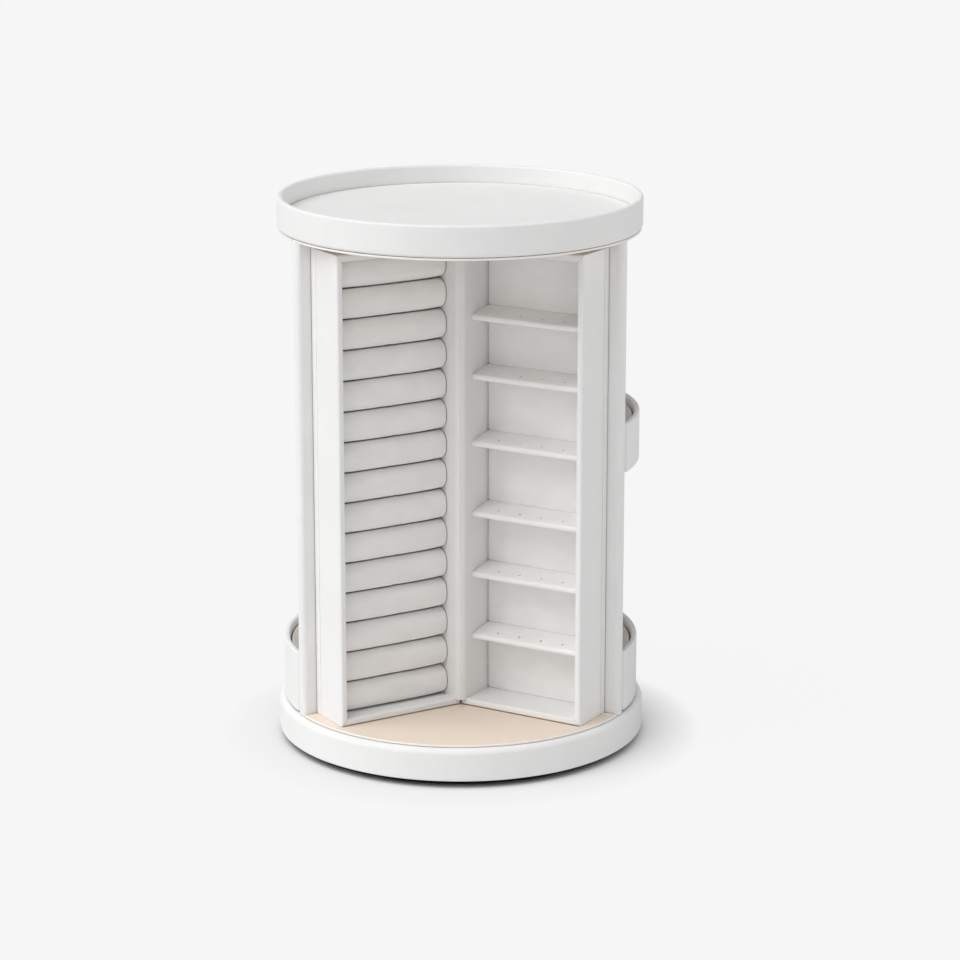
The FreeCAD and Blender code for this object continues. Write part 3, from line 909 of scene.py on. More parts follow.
def loft(name: str, region: Region, profile: Profile, corner: float = 0.0, step: float = COARSE_STEP,
         parts: int = 12, closed: bool = False, extra: Sequence[float] = ()) -> Shell:
    """Sweep a profile round a region.

    Args:
        name: The new shell's name.
        region: The plan outline.
        profile: Points as (inset, level).
        corner: Radius of the outline's corners where the inset is 0.
        step: Degrees between the points on arcs.
        parts: Parts of each straight side.
        closed: Whether the profile is a loop, as for a ring.
        extra: Further azimuths that get a point.

    Returns:
        The shell.
    """
    rings = []
    least = 0.05 * MM
    for inset, level in profile:
        ring = region.outline(inset, max(least, corner - inset) if corner else 0.0, step, parts, extra)
        rings.append([Vector((point.x, point.y, level)) for point in ring])
    return Shell(name).skin(rings, closed)


def dress(finish: Finish, *nodes: str) -> None:
    """Give CAD nodes whose shape is right their finish.

    Args:
        finish: The finish.
        *nodes: Names of the nodes.
    """
    for name in nodes:
        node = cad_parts[name]
        node.data.materials.clear()
        node.data.materials.append(finish.material())
        node.data.shade_smooth()
        node.data.set_sharp_from_angle(angle=math.radians(SHARP_ANGLE))
        log.info("dressed %s", name)


@dataclass(frozen=True)
class Seam:
    """Butt joint of a wrapped band, pressed into a round wall."""

    azimuth: float = REAR
    width: float = 0.22 * MM
    depth: float = 0.3 * MM
    offsets: tuple[float, ...] = (0.08, 0.18, 0.3, 0.45)

    def azimuths(self) -> list[float]:
        """Azimuths where the wall needs further points."""
        return [self.azimuth + sign * offset for sign in (-1.0, 1.0) for offset in self.offsets]

    def press(self, shell: Shell, inner: float) -> Shell:
        """Press the joint into a round piece.

        Args:
            shell: The piece.
            inner: Points nearer the axis than this stay where they are.

        Returns:
            The piece.
        """
        across = heading(self.azimuth + 90.0)
        outward = heading(self.azimuth)

        def pressed(point: Vector) -> Vector:
            """Move a point towards the axis where the joint is.

            Args:
                point: The point.

            Returns:
                Its new place.
            """
            if math.hypot(point.x, point.y) < inner or point.dot(outward) < 0.0:
                return point
            return point - outward * self.depth * math.exp(-(point.dot(across) / self.width) ** 2)

        return shell.move(pressed)


@dataclass
class TowerPlan:
    """Directions, radii and levels that the pieces of the tower share."""

    vee_angle: float = 31.0
    divider_thickness: float = 5.7 * MM
    divider_setback: float = 2.05 * MM
    base_bottom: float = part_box("base_disc")[0].z
    base_top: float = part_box("front_left_divider")[0].z
    base_radius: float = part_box("base_disc")[1].x
    top_radius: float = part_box("top_rim")[1].x
    top_bottom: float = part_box("top_rim")[0].z
    top_level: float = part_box("top_rim")[1].z
    rim_overhang: float = 0.5 * MM
    tower_radius: float = field(init=False)
    left_run: float = field(init=False)
    right_run: float = field(init=False)
    rear_run: float = REAR

    def __post_init__(self) -> None:
        """Work out the tower's radius and the directions of the dividers."""
        self.tower_radius = self.top_radius - self.rim_overhang
        self.left_run = 180.0 + self.vee_angle
        self.right_run = -self.vee_angle

    def front_walls(self, gap: float) -> tuple[Wall, ...]:
        """Walls of the front niche, drawn in by a gap."""
        offset = gap - self.divider_setback
        return Wall(self.right_run - 90.0, offset), Wall(self.left_run + 90.0, offset)

    def rear_walls(self, side: Side, gap: float) -> tuple[Wall, ...]:
        """Walls of a rear niche, drawn in by a gap.

        Args:
            side: Which niche.
            gap: The gap.

        Returns:
            The two walls.
        """
        back = self.divider_setback + self.divider_thickness + gap
        rear = self.divider_thickness / 2.0 + gap
        if side is Side.LEFT:
            return Wall(self.left_run - 90.0, back), Wall(self.rear_run + 90.0, rear)
        return Wall(self.right_run + 90.0, back), Wall(self.rear_run - 90.0, rear)

    def rear_middle(self, side: Side) -> float:
        """Azimuth down the middle of a rear niche."""
        run = self.left_run if side is Side.LEFT else self.right_run
        return (run + self.rear_run) / 2.0

    def rear_corner(self, side: Side) -> Vector:
        """Plan point where the walls of a rear niche meet.

        Args:
            side: Which niche.

        Returns:
            The point.
        """
        angle = math.radians(self.vee_angle)
        x = self.divider_thickness / 2.0
        wall = self.divider_setback + self.divider_thickness
        return Vector((side.value * x, (wall - x * math.sin(angle)) / math.cos(angle), 0.0))


@dataclass
class Foot:
    """Foot plate with its pads and the turntable above it."""

    def build(self) -> None:
        """Dress the foot's nodes and the parts of the turntable."""
        dress(BLACK_PLASTIC, "foot_plate")
        dress(BLACK_RUBBER, "foot_pads")
        dress(NYLON, "bearing_cage")
        dress(STEEL, "bearing_lower_race", "bearing_upper_race", "bearing_balls", "lower_race_screws",
              "upper_race_screws", "centre_pivot")


@dataclass
class Base:
    """Wrapped round base and the cream lining of the niche above it."""

    plan: TowerPlan
    top_round: float = 2.6 * MM
    bottom_round: float = 0.9 * MM
    flat_ring: float = 8 * MM
    recess_radius: float = 75.5 * MM
    recess_top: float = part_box("upper_race_screws")[0].z + 2.5 * MM
    recess_foot: float = 0.5 * MM
    joint: Seam = Seam()
    joint_reach: float = 1.2 * MM
    ripple_width: float = 17 * MM
    inlay_gap: float = 0.3 * MM
    inlay_round: float = 0.35 * MM
    inlay_undercut: float = 0.2 * MM

    def build(self) -> None:
        """Make the base and its inlay."""
        self.disc()
        self.floor_inlay()

    def disc(self) -> None:
        """Make the base disc, hollow below, with the joint of its band at the back."""
        plan = self.plan
        inner = plan.base_radius - self.recess_radius
        foot = self.recess_foot
        profile = ([(inner, self.recess_top), (inner, plan.base_bottom + foot)]
                   + arc(inner - foot, plan.base_bottom + foot, foot, 180.0, 270.0, parts=3)
                   + lower_edge(plan.base_bottom, self.bottom_round, parts=8)
                   + [(0.0, (plan.base_bottom + plan.base_top) / 2.0)]
                   + upper_edge(plan.base_top, self.top_round, parts=10)
                   + [(self.top_round + EDGE_BAND, plan.base_top), (self.flat_ring, plan.base_top)])
        shell = loft("base_wrap", Region(radius=plan.base_radius), profile, step=FINE_STEP,
                     extra=self.joint.azimuths())
        shell.ripple(self.ripple_width)
        self.joint.press(shell, plan.base_radius - self.joint_reach)
        shell.piece(WHITE_LEATHER, Body.TOWER, "base_disc")

    def floor_inlay(self) -> None:
        """Make the leather-covered card on the floor of the front niche."""
        low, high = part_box("front_floor_inlay")
        region = Region(self.plan.front_walls(self.inlay_gap), self.plan.tower_radius)
        undercut = self.inlay_undercut
        profile = ([(undercut + EDGE_BAND, low.z), (undercut, low.z), (0.0, low.z + undercut)]
                   + upper_edge(high.z, self.inlay_round, parts=5)
                   + [(band, high.z) for band in CARD_BANDS])
        shell = loft("floor_inlay", region, profile, corner=CARD_CORNER, step=MEDIUM_STEP)
        pale_edge(shell.piece(CREAM_LEATHER, Body.TOWER, "front_floor_inlay"))


@dataclass
class Dividers:
    """Three upright wrapped boards."""

    plan: TowerPlan
    outer_round: float = 2.2 * MM
    end_round: float = 0.4 * MM
    end_band: float = 0.3 * MM
    round_parts: int = 7
    height_parts: int = 24
    ripple_width: float = 21 * MM

    def board(self, name: str, run: float, side_offset: float, start: tuple[Wall, ...]) -> None:
        """Make one board.

        Args:
            name: The node that it stands for.
            run: Azimuth that the board follows outward.
            side_offset: Offset of its middle plane to its left.
            start: Walls that end it near the axis.
        """
        plan = self.plan
        half = plan.divider_thickness / 2.0
        along = heading(run)
        across = heading(run + 90.0)
        walls = [Wall(run - 90.0, -side_offset - half), Wall(run + 90.0, side_offset - half),
                 Wall(run + 180.0, -plan.tower_radius)]
        for sign in (-1.0, 1.0):
            middle = (along * (plan.tower_radius - self.outer_round)
                      + across * (side_offset + sign * (half - self.outer_round)))
            for number in range(1, self.round_parts):
                azimuth = run + sign * 90.0 * number / self.round_parts
                walls.append(Wall(azimuth + 180.0, -middle.dot(heading(azimuth)) - self.outer_round))
        region = Region(tuple(walls) + start)
        profile = slab(plan.base_top, plan.top_bottom, self.end_round, self.end_round, self.end_band)
        middle_levels = [plan.base_top + (plan.top_bottom - plan.base_top) * part / self.height_parts
                         for part in range(1, self.height_parts)]
        split = len(profile) // 2
        profile = profile[:split] + [(0.0, level) for level in middle_levels] + profile[split:]
        shell = loft(name.replace("divider", "board"), region, profile, step=0.0, parts=2)
        shell.ripple(self.ripple_width, run)
        shell.piece(WHITE_LEATHER, Body.TOWER, name)

    def build(self) -> None:
        """Make the three boards and dress their screws."""
        dress(STEEL, "divider_screws")
        plan = self.plan
        middle = plan.divider_setback + plan.divider_thickness / 2.0
        self.board("front_left_divider", plan.left_run, -middle, (Wall(180.0, 0.0),))
        self.board("front_right_divider", plan.right_run, middle, (Wall(0.0, 0.0),))
        self.board("rear_divider", plan.rear_run, 0.0, (Wall(90.0, plan.rear_corner(Side.RIGHT).y),))


@dataclass
class TopTray:
    """Ring wall and soft floor of the top tray, and the lined ceilings below it."""

    plan: TowerPlan
    wall: float = 2.6 * MM
    lower_round: float = 1.3 * MM
    upper_round: float = 1.15 * MM
    inner_foot: float = 0.3 * MM
    joint: Seam = Seam()
    joint_reach: float = 1.0 * MM
    ripple_width: float = 15 * MM
    ripple_seed: float = 3.0
    pad_gap: float = 0.2 * MM
    pad_bottom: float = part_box("top_pad")[0].z
    pad_top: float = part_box("top_pad")[1].z
    pad_rise: float = 0.12 * MM
    pad_bumps: float = 0.05 * MM
    pad_bump_width: float = 14 * MM
    pad_edge_share: float = 0.55
    pad_middle: float = 2 * MM
    pad_rings: int = 18
    pad_fullness: int = 4
    ceiling_gap: float = 0.3 * MM
    ceiling_round: float = 0.35 * MM
    ceiling_undercut: float = 0.2 * MM

    def build(self) -> None:
        """Make the rim, the pad and the ceilings, and dress the board."""
        dress(BOARD, "top_board")
        self.rim()
        self.pad()
        plan = self.plan
        gap = self.ceiling_gap
        self.ceiling("front_ceiling_inlay", plan.front_walls(gap), CREAM_LEATHER)
        self.ceiling("left_ceiling_inlay", plan.rear_walls(Side.LEFT, gap), WHITE_LEATHER)
        self.ceiling("right_ceiling_inlay", plan.rear_walls(Side.RIGHT, gap), WHITE_LEATHER)

    def rim(self) -> None:
        """Make the wrapped ring wall with the joint of its band at the back."""
        plan = self.plan
        bottom, top = plan.top_bottom, plan.top_level
        foot = self.inner_foot
        profile = (lower_edge(bottom, self.lower_round, parts=9)
                   + [(0.0, (bottom + top) / 2.0)]
                   + lip(top, self.upper_round, self.wall, parts=7)
                   + [(self.wall, self.pad_top), (self.wall, bottom + foot),
                      (self.wall - foot, bottom)])
        shell = loft("rim_wrap", Region(radius=plan.top_radius), profile, step=FINE_STEP, closed=True,
                     extra=self.joint.azimuths())
        shell.ripple(self.ripple_width, self.ripple_seed)
        self.joint.press(shell, plan.top_radius - self.joint_reach)
        shell.piece(WHITE_LEATHER, Body.TOWER, "top_rim")

    def pad(self) -> None:
        """Make the soft floor, a little fuller in its middle and rolled down at its edge."""
        radius = self.plan.top_radius - self.wall - self.pad_gap
        thickness = self.pad_top - self.pad_bottom
        edge = thickness * self.pad_edge_share
        profile = ([(EDGE_BAND, self.pad_bottom), (0.0, self.pad_bottom)]
                   + upper_edge(self.pad_top, edge, parts=5))
        profile += [(edge + (radius - edge - self.pad_middle) * number / self.pad_rings, self.pad_top)
                    for number in range(1, self.pad_rings + 1)]
        shell = loft("tray_pad", Region(radius=radius), profile)

        def swell(point: Vector) -> Vector:
            """Lift the padded middle and let the surface undulate slightly.

            Args:
                point: A point of the pad.

            Returns:
                Its new place.
            """
            if point.z < self.pad_top - edge:
                return point
            inside = max(0.0, 1.0 - (math.hypot(point.x, point.y) / radius) ** self.pad_fullness)
            bumps = noise.noise(Vector((point.x, point.y, 0.0)) / self.pad_bump_width)
            return point + UP * (inside * (self.pad_rise + self.pad_bumps * bumps))

        made = shell.move(swell).piece(WHITE_LEATHER, Body.TOWER, "top_pad")

    def ceiling(self, node: str, walls: tuple[Wall, ...], finish: Finish) -> None:
        """Make one lined ceiling, its lower edge rounded.

        Args:
            node: The node that it stands for.
            walls: Walls of its niche.
            finish: What it is covered with.
        """
        low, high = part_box(node)
        undercut = self.ceiling_undercut
        profile = ([(band, low.z) for band in reversed(CARD_BANDS)]
                   + lower_edge(low.z, self.ceiling_round, parts=5)
                   + [(0.0, high.z - undercut), (undercut, high.z), (undercut + EDGE_BAND, high.z)])
        shell = loft(node.replace("_inlay", "_lining"), Region(walls, self.plan.tower_radius), profile,
                     corner=CARD_CORNER, step=MEDIUM_STEP)
        card = shell.piece(finish, Body.TOWER, node)
        if finish is CREAM_LEATHER:
            pale_edge(card)


@dataclass
class DisplayTray:
    """Sizes that both leaning trays share, and the way from their own axes into the frame.

    Their own axes run X along the face from the middle of the vee, Y from the face to the
    back and Z up.
    """

    plan: TowerPlan
    side: Side
    inner_depth: float = 18.6 * MM
    back_thickness: float = 3.55 * MM
    back_gap: float = 0.3 * MM
    wall: float = 2.8 * MM
    floor: float = 3.0 * MM
    bottom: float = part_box("ring_tray_frame")[0].z
    top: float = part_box("ring_tray_frame")[1].z
    edge_round: float = 1.0 * MM
    edge_share: float = 0.45
    edge_band: float = 0.1 * MM
    rear_round: float = 0.2 * MM
    depth_parts: int = 5
    side_parts: int = 22
    ripple_width: float = 18 * MM
    ripple_height: float = 0.04 * MM
    mouth_share: float = 0.6
    mitre_share: float = 0.12
    nose_cover: float = 0.06 * MM
    nose_soft: float = 0.5 * MM
    nose_band: float = 0.1 * MM
    nose_parts: int = 14
    nose_overlap: float = 1.0
    nose_back: float = 0.99
    nose_hair: float = 0.02 * MM
    apex_y: float = field(init=False)
    width: float = field(init=False)

    def __post_init__(self) -> None:
        """Work out where the vee's apex is and how wide the trays are."""
        angle = math.radians(self.plan.vee_angle)
        depth = self.inner_depth + self.back_thickness + self.back_gap - self.plan.divider_setback
        self.apex_y = -depth / math.cos(angle)
        reach = abs(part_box("ring_tray_frame")[0].x)
        self.width = (reach - self.inner_depth * math.sin(angle)) / math.cos(angle)

    def matrix(self) -> Matrix:
        """The way from the tray's own axes to the frame.

        Returns:
            Its matrix.
        """
        turn = Matrix.Rotation(math.radians(-self.side.value * self.plan.vee_angle), 4, "Z")
        mirror = Matrix.Diagonal((self.side.value, 1.0, 1.0, 1.0))
        return Matrix.Translation((0.0, self.apex_y, 0.0)) @ turn @ mirror

    def place(self, shell: Shell) -> Shell:
        """Move a shell from the tray's own axes into the frame."""
        matrix = self.matrix()
        return shell.move(lambda point: matrix @ point)

    def frame_piece(self, node: str) -> None:
        """Make the wrapped frame of four mitred boards with soft front edges.

        Args:
            node: The node that it stands for.
        """
        shell = Shell(node.replace("_frame", "_surround"))
        middle = Vector((self.width / 2.0, (self.bottom + self.top) / 2.0, 0.0))
        half = Vector((self.width / 2.0, (self.top - self.bottom) / 2.0, 0.0))
        corners = [Vector((middle.x + x * half.x, middle.y + y * half.y, 0.0))
                   for x, y in ((-1, -1), (1, -1), (1, 1), (-1, 1))]
        thickness = (self.floor, self.wall, self.floor, self.wall)
        for number in range(4):
            start, end = corners[number], corners[(number + 1) % 4]
            along = (end - start).normalized()
            inward = Vector((-along.y, along.x, 0.0))
            azimuth = math.degrees(math.atan2(inward.y, inward.x))
            own = thickness[number]
            following, before = thickness[(number + 1) % 4], thickness[number - 1]
            walls = (Wall(azimuth, start.dot(inward)),
                     Wall(azimuth + 180.0, -(start.dot(inward) + own), self.mouth_share),
                     self.mitre(start, along, inward, before, own, 1.0),
                     self.mitre(end, along, inward, following, own, -1.0))
            self.board(shell, Region(walls), own)
        shell.ripple(self.ripple_width, self.side.value, self.ripple_height)
        self.nose(shell)
        self.place(shell).piece(WHITE_LEATHER, Body.TOWER, node)

    def nose(self, shell: Shell) -> None:
        """Round the wall beside the apex forward, so that both trays meet in one soft nose.

        Args:
            shell: The frame's shell.
        """
        radius = self.wall + self.nose_cover
        start = self.plan.vee_angle - 90.0 - self.nose_overlap
        low, high = self.bottom + self.floor, self.top - self.floor
        soft = self.nose_soft
        angles = [start - start * part / self.nose_parts for part in range(self.nose_parts + 1)]
        back = self.nose_back
        rings = []
        for inset, level in slab(low - soft, high + soft, soft, soft, self.nose_band):
            size = radius - inset
            ring = [heading(angle) * size + UP * level for angle in angles]
            ring += [Vector((size, self.inner_depth * share, level)) for share in (0.25, 0.5, 0.75, back)]
            ring += [Vector((self.nose_hair, self.inner_depth * share, level)) for share in (back, 0.5, 0.0)]
            rings.append(ring)
        shell.skin(rings)

    def mitre(self, corner: Vector, along: Vector, inward: Vector, beside: float, own: float,
              sign: float) -> Wall:
        """Plane where two boards of the frame meet.

        Args:
            corner: Outer corner of the frame.
            along: Direction of the board.
            inward: Direction to the inside.
            beside: Thickness of the neighbour.
            own: Thickness of the board.
            sign: 1 where the board starts and -1 where it ends.

        Returns:
            The wall.
        """
        run = (along * beside * sign + inward * own).normalized()
        normal = along * sign - run * run.dot(along * sign)
        normal.normalize()
        return Wall(math.degrees(math.atan2(normal.y, normal.x)), corner.dot(normal), self.mitre_share)

    def board(self, shell: Shell, region: Region, own: float) -> None:
        """Add one mitred board to the frame, drawn from its face to its back.

        Args:
            shell: The frame's shell.
            region: The board's outline, seen from the front.
            own: The board's thickness.
        """
        edge = min(self.edge_round, self.edge_share * own)
        rear = self.rear_round
        profile = [(edge + self.edge_band, 0.0)]
        profile += [(inset, -level) for inset, level in arc(edge, -edge, edge, 90.0, 0.0, parts=7)]
        profile += [(0.0, self.inner_depth * part / self.depth_parts) for part in range(1, self.depth_parts)]
        profile += [(0.0, self.inner_depth - rear), (rear, self.inner_depth)]
        rings = []
        for inset, depth in profile:
            ring = region.outline(inset, step=0.0, parts=self.side_parts)
            rings.append([Vector((point.x, depth, point.y)) for point in ring])
        shell.skin(rings)


@dataclass(frozen=True)
class Roll:
    """Place and size of one padded roll, in its tray's own axes."""

    number: int
    start: float
    end: float
    radius: float
    depth: float
    level: float


@dataclass
class RingTray(DisplayTray):
    """Left tray with its padded rolls."""

    rolls: int = 15
    roll_gap: float = 0.1 * MM
    crown_depth: float = 5.8 * MM
    fullness: float = 2.45
    around: int = 56
    along: int = 22
    back_clearance: float = 0.3 * MM
    end_gap: float = 0.12 * MM
    end_drop: float = 0.45 * MM
    end_round: float = 1.2 * MM
    end_parts: int = 9
    paler_shade_end: float = 0.9 * MM
    tuck: tuple[Span, ...] = ((0.35 * MM, 0.22), (0.12 * MM, 0.4))
    swell_power: int = 4
    pattern: Triple = (3.1, 1.7, 0.0)
    crease_width: float = 11 * MM
    crease_height: float = 0.04 * MM
    pucker_width: float = 9 * MM
    puckers_around: float = 4.0
    pucker_height: float = 0.06 * MM
    pucker_reach: float = 5 * MM
    cover: Upholstery = Upholstery()
    glued_margin: float = 0.8 * MM
    glued_end: float = 0.1 * MM
    contact: float = 0.04 * MM

    def build(self) -> None:
        """Make the frame and the rolls, and dress the back."""
        self.frame_piece("ring_tray_frame")
        dress(PALE_SUEDE, "ring_tray_back")
        pitch = (self.top - self.bottom - 2 * self.floor) / self.rolls
        radius = (pitch - self.roll_gap) / 2.0
        start = self.wall + self.end_gap
        end = self.width - self.wall - self.end_gap
        for number in range(self.rolls):
            level = self.bottom + self.floor + pitch * (number + 0.5)
            self.padded_roll(Roll(number, start, end, radius, self.crown_depth + radius, level), pitch)

    def padded_roll(self, roll: Roll, pitch: float) -> None:
        """Make one padded roll.

        Args:
            roll: Its place and size.
            pitch: Distance to the next roll.
        """
        back = self.inner_depth - self.back_clearance
        rings = []
        for x, size in self.stations(roll):
            ring = []
            for step in range(self.around):
                angle = math.tau * step / self.around
                across, rise = math.cos(angle), math.sin(angle)
                full = (abs(across) ** self.fullness + abs(rise) ** self.fullness) ** (-1 / self.fullness)
                y = roll.depth + size * across * full
                ring.append(Vector((x, min(y, back), roll.level + size * rise * full)))
            rings.append(ring)
        name = "%02d" % (roll.number + 1)
        shell = Shell("padded_roll_" + name).skin(rings)
        self.crease(shell, roll)
        self.cover.settle(shell, lambda point: (point.y > back - self.glued_margin
                                                or not roll.start + self.glued_end <= point.x
                                                <= roll.end - self.glued_end))
        for vertex in shell.mesh.verts:
            rise = vertex.co.z - roll.level
            vertex.co.z = roll.level + math.copysign(self.press(abs(rise), pitch / 2.0), rise)
        made = self.place(shell).piece(GREY_VELVET, Body.TOWER, "ring_roll_" + name)
        own = self.matrix().inverted()
        # The last part of each roll at the apex takes the paler painted shade.
        trim(made, ROLL_END_PALER_SHADE, lambda face: (own @ face.center).x < roll.start + self.paler_shade_end)

    def press(self, rise: float, limit: float) -> float:
        """Flatten a roll softly where it meets its neighbour.

        Args:
            rise: Height of a point above or below the roll's axis.
            limit: Height of the neighbour.

        Returns:
            The new height, always less than the limit.
        """
        return -self.contact * math.log(math.exp(-rise / self.contact) + math.exp(-limit / self.contact))

    def stations(self, roll: Roll) -> Profile:
        """Places along a roll with its radius there: tucked ends and a crowned body.

        Args:
            roll: Its place and size.

        Returns:
            Pairs of a place and a radius.
        """
        middle = (roll.start + roll.end) / 2.0
        half = (roll.end - roll.start) / 2.0
        end_radius = roll.radius - self.end_drop
        ends = []
        for number in range(self.end_parts + 1):
            angle = math.radians(90.0 * number / self.end_parts)
            ends.append((self.end_round * (1.0 - math.sin(angle)),
                         end_radius - self.end_round * (1.0 - math.cos(angle))))
        ends.reverse()
        tuck = [(inset, end_radius * share) for inset, share in self.tuck]
        left = [(roll.start + x, size) for x, size in tuck + ends]
        body = []
        for number in range(1, self.along):
            x = roll.start + self.end_round + (2 * half - 2 * self.end_round) * number / self.along
            share = (x - middle) / (half - self.end_round)
            body.append((x, roll.radius - (roll.radius - end_radius) * share ** self.swell_power))
        right = [(roll.start + roll.end - x, size) for x, size in reversed(left)]
        return left + body + right

    def crease(self, shell: Shell, roll: Roll) -> None:
        """Give a roll the small unevenness of velvet drawn over foam.

        Args:
            shell: The roll's skin.
            roll: Its place and size, and the number that seeds its pattern.
        """
        seed = Vector([roll.number * part for part in self.pattern])

        def soften(point: Vector) -> Vector:
            """Move a point along the roll's radius.

            Args:
                point: The point.

            Returns:
                Its new place.
            """
            out = Vector((0.0, point.y - roll.depth, point.z - roll.level))
            if out.length < TINY:
                return point
            out.normalize()
            near_end = math.exp(-min(point.x - roll.start, roll.end - point.x) / self.pucker_reach)
            slow = noise.noise(point / self.crease_width + seed)
            place = Vector((point.x / self.pucker_width, out.y * self.puckers_around,
                            out.z * self.puckers_around))
            puckers = noise.noise(place + seed * 2.0)
            return point + out * (self.crease_height * (1.0 + slow)
                                  + self.pucker_height * near_end * (1.0 + puckers))

        shell.move(soften)


@dataclass
class EarringTray(DisplayTray):
    """Right tray with its tipped shelves."""

    shelves: int = 6

    def build(self) -> None:
        """Make the frame and dress the back and the shelves."""
        self.frame_piece("earring_tray_frame")
        dress(PALE_SUEDE, "earring_tray_back")
        for number in range(self.shelves):
            dress(PALE_SUEDE, "earring_shelf_%d" % (number + 1))


@dataclass
class Drawer:
    """Curved drawer with its lined tray and its guide bar."""

    plan: TowerPlan
    side: Side
    body: Body
    wall: float = 2.3 * MM
    floor: float = 2.6 * MM
    side_gap: float = 0.6 * MM
    side_length: float = 10.1 * MM
    corner: float = 2.0 * MM
    rim_round: float = 0.9 * MM
    foot_round: float = 0.7 * MM
    cove: float = 0.6 * MM
    ripple_width: float = 16 * MM
    liner_gap: float = 0.9 * MM
    liner_lift: float = 0.1 * MM
    liner_wall: float = 1.0 * MM
    liner_floor: float = 1.0 * MM
    liner_drop: float = 2.8 * MM
    liner_corner: float = 0.6 * MM
    liner_foot: float = 0.2 * MM
    liner_cove: float = 1.2 * MM
    liner_band: float = 2 * MM
    liner_rim: float = 0.9 * MM
    liner_ripple: float = 9 * MM

    def region(self, inset: float) -> Region:
        """Outline of the drawer.

        Args:
            inset: How far it is drawn in.

        Returns:
            The outline.
        """
        plan = self.plan
        x = plan.divider_thickness / 2.0 + self.side_gap
        y = math.sqrt(plan.tower_radius ** 2 - x ** 2) - self.side_length
        middle = plan.rear_middle(self.side)
        back = Vector((self.side.value * x, y, 0.0)).dot(heading(middle))
        walls = plan.rear_walls(self.side, self.side_gap + inset) + (Wall(middle, back + inset),)
        return Region(walls, plan.tower_radius - inset)

    def build(self) -> None:
        """Make the drawer and its liner, and dress its guide bar."""
        node = self.body.value.removesuffix("_body")
        low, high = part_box(node)
        floor = low.z + self.floor
        wall, cove = self.wall, self.cove
        profile = ([(self.foot_round + EDGE_BAND, low.z)] + lower_edge(low.z, self.foot_round)
                   + lip(high.z, self.rim_round, wall)
                   + [(wall, floor + cove), (wall + cove, floor), (wall + 2 * cove, floor)])
        shell = loft(node + "_box", self.region(0.0), profile, self.corner, MEDIUM_STEP)
        shell.ripple(self.ripple_width, low.z)
        shell.piece(WHITE_LEATHER, self.body, node)
        self.liner(low.z, high.z)
        dress(NYLON, node.replace("drawer", "runner"))

    def liner(self, bottom: float, top: float) -> None:
        """Make the lined tray that drops into the drawer.

        Args:
            bottom: The drawer's lowest level.
            top: Its highest.
        """
        low = bottom + self.floor + self.liner_lift
        high = top - self.liner_drop
        region = self.region(self.wall + self.liner_gap)
        floor = low + self.liner_floor
        half = self.liner_wall / 2.0
        wall, foot, cove = self.liner_wall, self.liner_foot, self.liner_cove
        profile = ([(wall, low), (foot, low), (0.0, low + foot)]
                   + arc(half, high - half, half, 0.0, 180.0, parts=8)
                   + arc(wall + cove, floor + cove, cove, 180.0, 270.0, parts=5)
                   + [(wall + cove + self.liner_band, floor)])
        node = self.body.value.replace("drawer_body", "liner")
        shell = loft(node.replace("liner", "drawer_lining"), region, profile, self.liner_corner)
        shell.ripple(self.liner_ripple, low)
        made = shell.piece(GREY_VELVET, self.body, node)
        trim(made, CREAM_LEATHER, lambda face: face.center.z > high - self.liner_rim)


@dataclass
class RearNiches:
    """Middle shelf and hook rails of the rear niches."""

    plan: TowerPlan
    shelf_setback: float = 5.4 * MM
    shelf_round: float = 1.2 * MM
    shelf_corner: float = 0.3 * MM
    ripple_width: float = 14 * MM

    def build(self) -> None:
        """Make the middle shelf and dress the rails and hooks."""
        low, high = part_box("middle_shelf")
        region = Region(self.plan.rear_walls(Side.RIGHT, 0.0),
                        self.plan.tower_radius - self.shelf_setback)
        profile = slab(low.z, high.z, self.shelf_round, self.shelf_round)
        shell = loft("rear_shelf", region, profile, self.shelf_corner, MEDIUM_STEP)
        shell.ripple(self.ripple_width)
        shell.piece(WHITE_LEATHER, Body.TOWER, "middle_shelf")
        dress(WHITE_LEATHER, "left_hook_rail", "right_hook_rail")
        dress(BRASS, "left_hooks", "right_hooks")


@dataclass(frozen=True)
class Lamp:
    """Wide distant light: its strength, where it stands and how wide it looks."""

    name: str
    strength: float
    azimuth: float
    elevation: float
    angle: float

    def build(self) -> None:
        """Make the light."""
        light = bpy.data.lights.new(self.name, "SUN")
        light.energy = self.strength
        light.angle = math.radians(self.angle)
        made = bpy.data.objects.new(self.name, light)
        bpy.context.scene.collection.objects.link(made)
        rise = math.radians(self.elevation)
        towards = heading(self.azimuth) * math.cos(rise) + UP * math.sin(rise)
        made.rotation_mode = "QUATERNION"
        made.rotation_quaternion = towards.to_track_quat("Z", "Y")


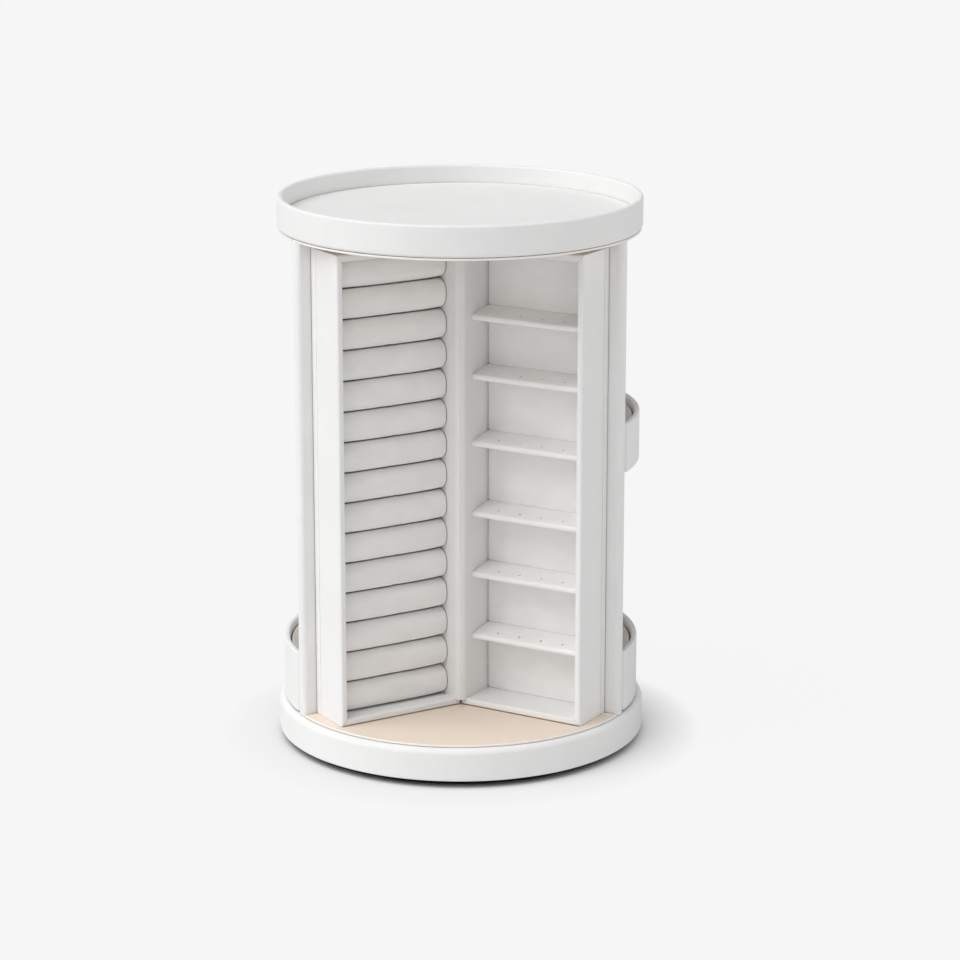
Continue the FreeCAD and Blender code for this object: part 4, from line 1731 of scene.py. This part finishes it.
@dataclass
class Studio:
    """Floor, light and camera."""

    floor_colour: Colour = (0.80, 0.80, 0.80)
    floor_reach: float = 12.0
    background: float = 0.93
    # Reach, colour and span of the painted contact shadow on the floor.
    contact_shadow_reach: float = 10 * MM
    contact_shadow_colour: Colour = (0.01, 0.01, 0.01)
    shadow_core: Span = (76 * MM, 82 * MM)
    shadow_edge: Span = (82 * MM, 106 * MM)
    core_lift: float = 0.33
    far_lift: float = 0.97
    contact_shadow_span: Span = (0.10, 0.50)
    floor_mottle: float = 0.4
    floor_shade: float = 0.999
    ambient: float = 0.36
    lamps: tuple[Lamp, ...] = (
        Lamp("key", 1.88, 207.0, 57.0, 50.0),
        Lamp("left", 0.62, 195.0, 15.0, 50.0),
        Lamp("front", 0.50, 266.0, 5.0, 60.0),
        Lamp("right", 0.72, 358.0, 18.0, 60.0),
    )
    camera_distance: float = 1317.9 * MM
    camera_height: float = 463.6 * MM
    camera_pitch: float = 14.9054
    camera_yaw: float = 0.3693
    focal_pixels: float = 3135.1
    image_pixels: float = 960.0
    sensor: float = 36.0
    clip: Span = (0.05, 100.0)

    def build(self) -> None:
        """Make the floor, the light and the camera."""
        self.floor()
        self.world()
        for lamp in self.lamps:
            lamp.build()
        self.camera()

    def floor(self) -> None:
        """Make the pale floor, with a painted contact shadow under the box."""
        mesh = bmesh.new()
        reach = self.floor_reach
        mesh.faces.new([mesh.verts.new((x * reach, y * reach, 0.0))
                        for x, y in ((-1, -1), (1, -1), (1, 1), (-1, 1))])
        made = show("floor", mesh)
        recipe = Recipe("floor")
        tone = recipe.clouds(self.floor_mottle)
        paper = recipe.blend(tone, self.floor_colour, shade(self.floor_colour, self.floor_shade))
        # A painted contact shadow darkens the floor's colour where the box stands close above it.
        painted_contact_shadow = recipe.paint_crevice_shade(self.contact_shadow_reach, self.contact_shadow_span, self.contact_shadow_colour, paper)
        recipe.put(Base_Color=painted_contact_shadow, Roughness=0.9, Specular_IOR_Level=0.1)
        # Away from the contact shadow, the camera sees the floor as plain background.
        away = recipe.add("VectorMath", Vector=recipe.place)
        away.operation = "LENGTH"
        core = recipe.remap(away.outputs["Value"], self.shadow_core, (0.0, self.core_lift))
        edge = recipe.remap(away.outputs["Value"], self.shadow_edge, (0.0, self.far_lift - self.core_lift))
        seen = recipe.combine(recipe.add("LightPath").outputs["Is Camera Ray"],
                              recipe.combine(core, edge), Operation.MULTIPLY)
        pale = recipe.add("Emission", Color=(self.background,) * 3)
        recipe.fill(recipe.output.inputs["Surface"],
                    recipe.overlay(seen, recipe.shader.outputs["BSDF"], pale.outputs["Emission"]))
        made.data.materials.append(recipe.material)

    def world(self) -> None:
        """Light the object evenly, and show a pale background to the camera."""
        world = bpy.data.worlds.new("studio")
        bpy.context.scene.world = world
        world.use_nodes = True
        tree = Tree(world.node_tree)
        path = tree.add("LightPath").outputs
        seen = tree.combine(path["Is Camera Ray"], path["Is Glossy Ray"], Operation.LARGER)
        seen = tree.combine(seen, path["Is Transmission Ray"], Operation.LARGER)
        light = tree.add("Background", Strength=self.ambient)
        pale = tree.add("Background", Strength=self.background)
        tree.add("OutputWorld", Surface=tree.overlay(seen, light.outputs[0], pale.outputs[0]))

    def camera(self) -> None:
        """Place the camera where the photograph was taken from."""
        data = bpy.data.cameras.new("camera")
        data.sensor_width = self.sensor
        data.lens = self.focal_pixels / self.image_pixels * self.sensor
        data.clip_start, data.clip_end = self.clip
        made = bpy.data.objects.new("camera", data)
        bpy.context.scene.collection.objects.link(made)
        made.location = (0.0, -self.camera_distance, self.camera_height)
        made.rotation_euler = (math.radians(90.0 - self.camera_pitch), 0.0,
                               math.radians(-self.camera_yaw))
        bpy.context.scene.camera = made


def main() -> None:
    """Build the studio and every part of the box in order."""
    logging.basicConfig(level=logging.INFO, format="%(message)s")
    bpy.context.scene.view_settings.view_transform = "Standard"
    plan = TowerPlan()
    sub_assemblies = [
        Studio(),
        Foot(),
        Base(plan),
        Dividers(plan),
        TopTray(plan),
        RingTray(plan, Side.LEFT),
        EarringTray(plan, Side.RIGHT),
        Drawer(plan, Side.LEFT, Body.LOWER_LEFT_DRAWER),
        Drawer(plan, Side.RIGHT, Body.LOWER_RIGHT_DRAWER),
        Drawer(plan, Side.RIGHT, Body.MIDDLE_DRAWER),
        RearNiches(plan),
    ]
    for part in sub_assemblies:
        part.build()
        log.info("built %s", type(part).__name__)


if __name__ == "__main__":
    main()
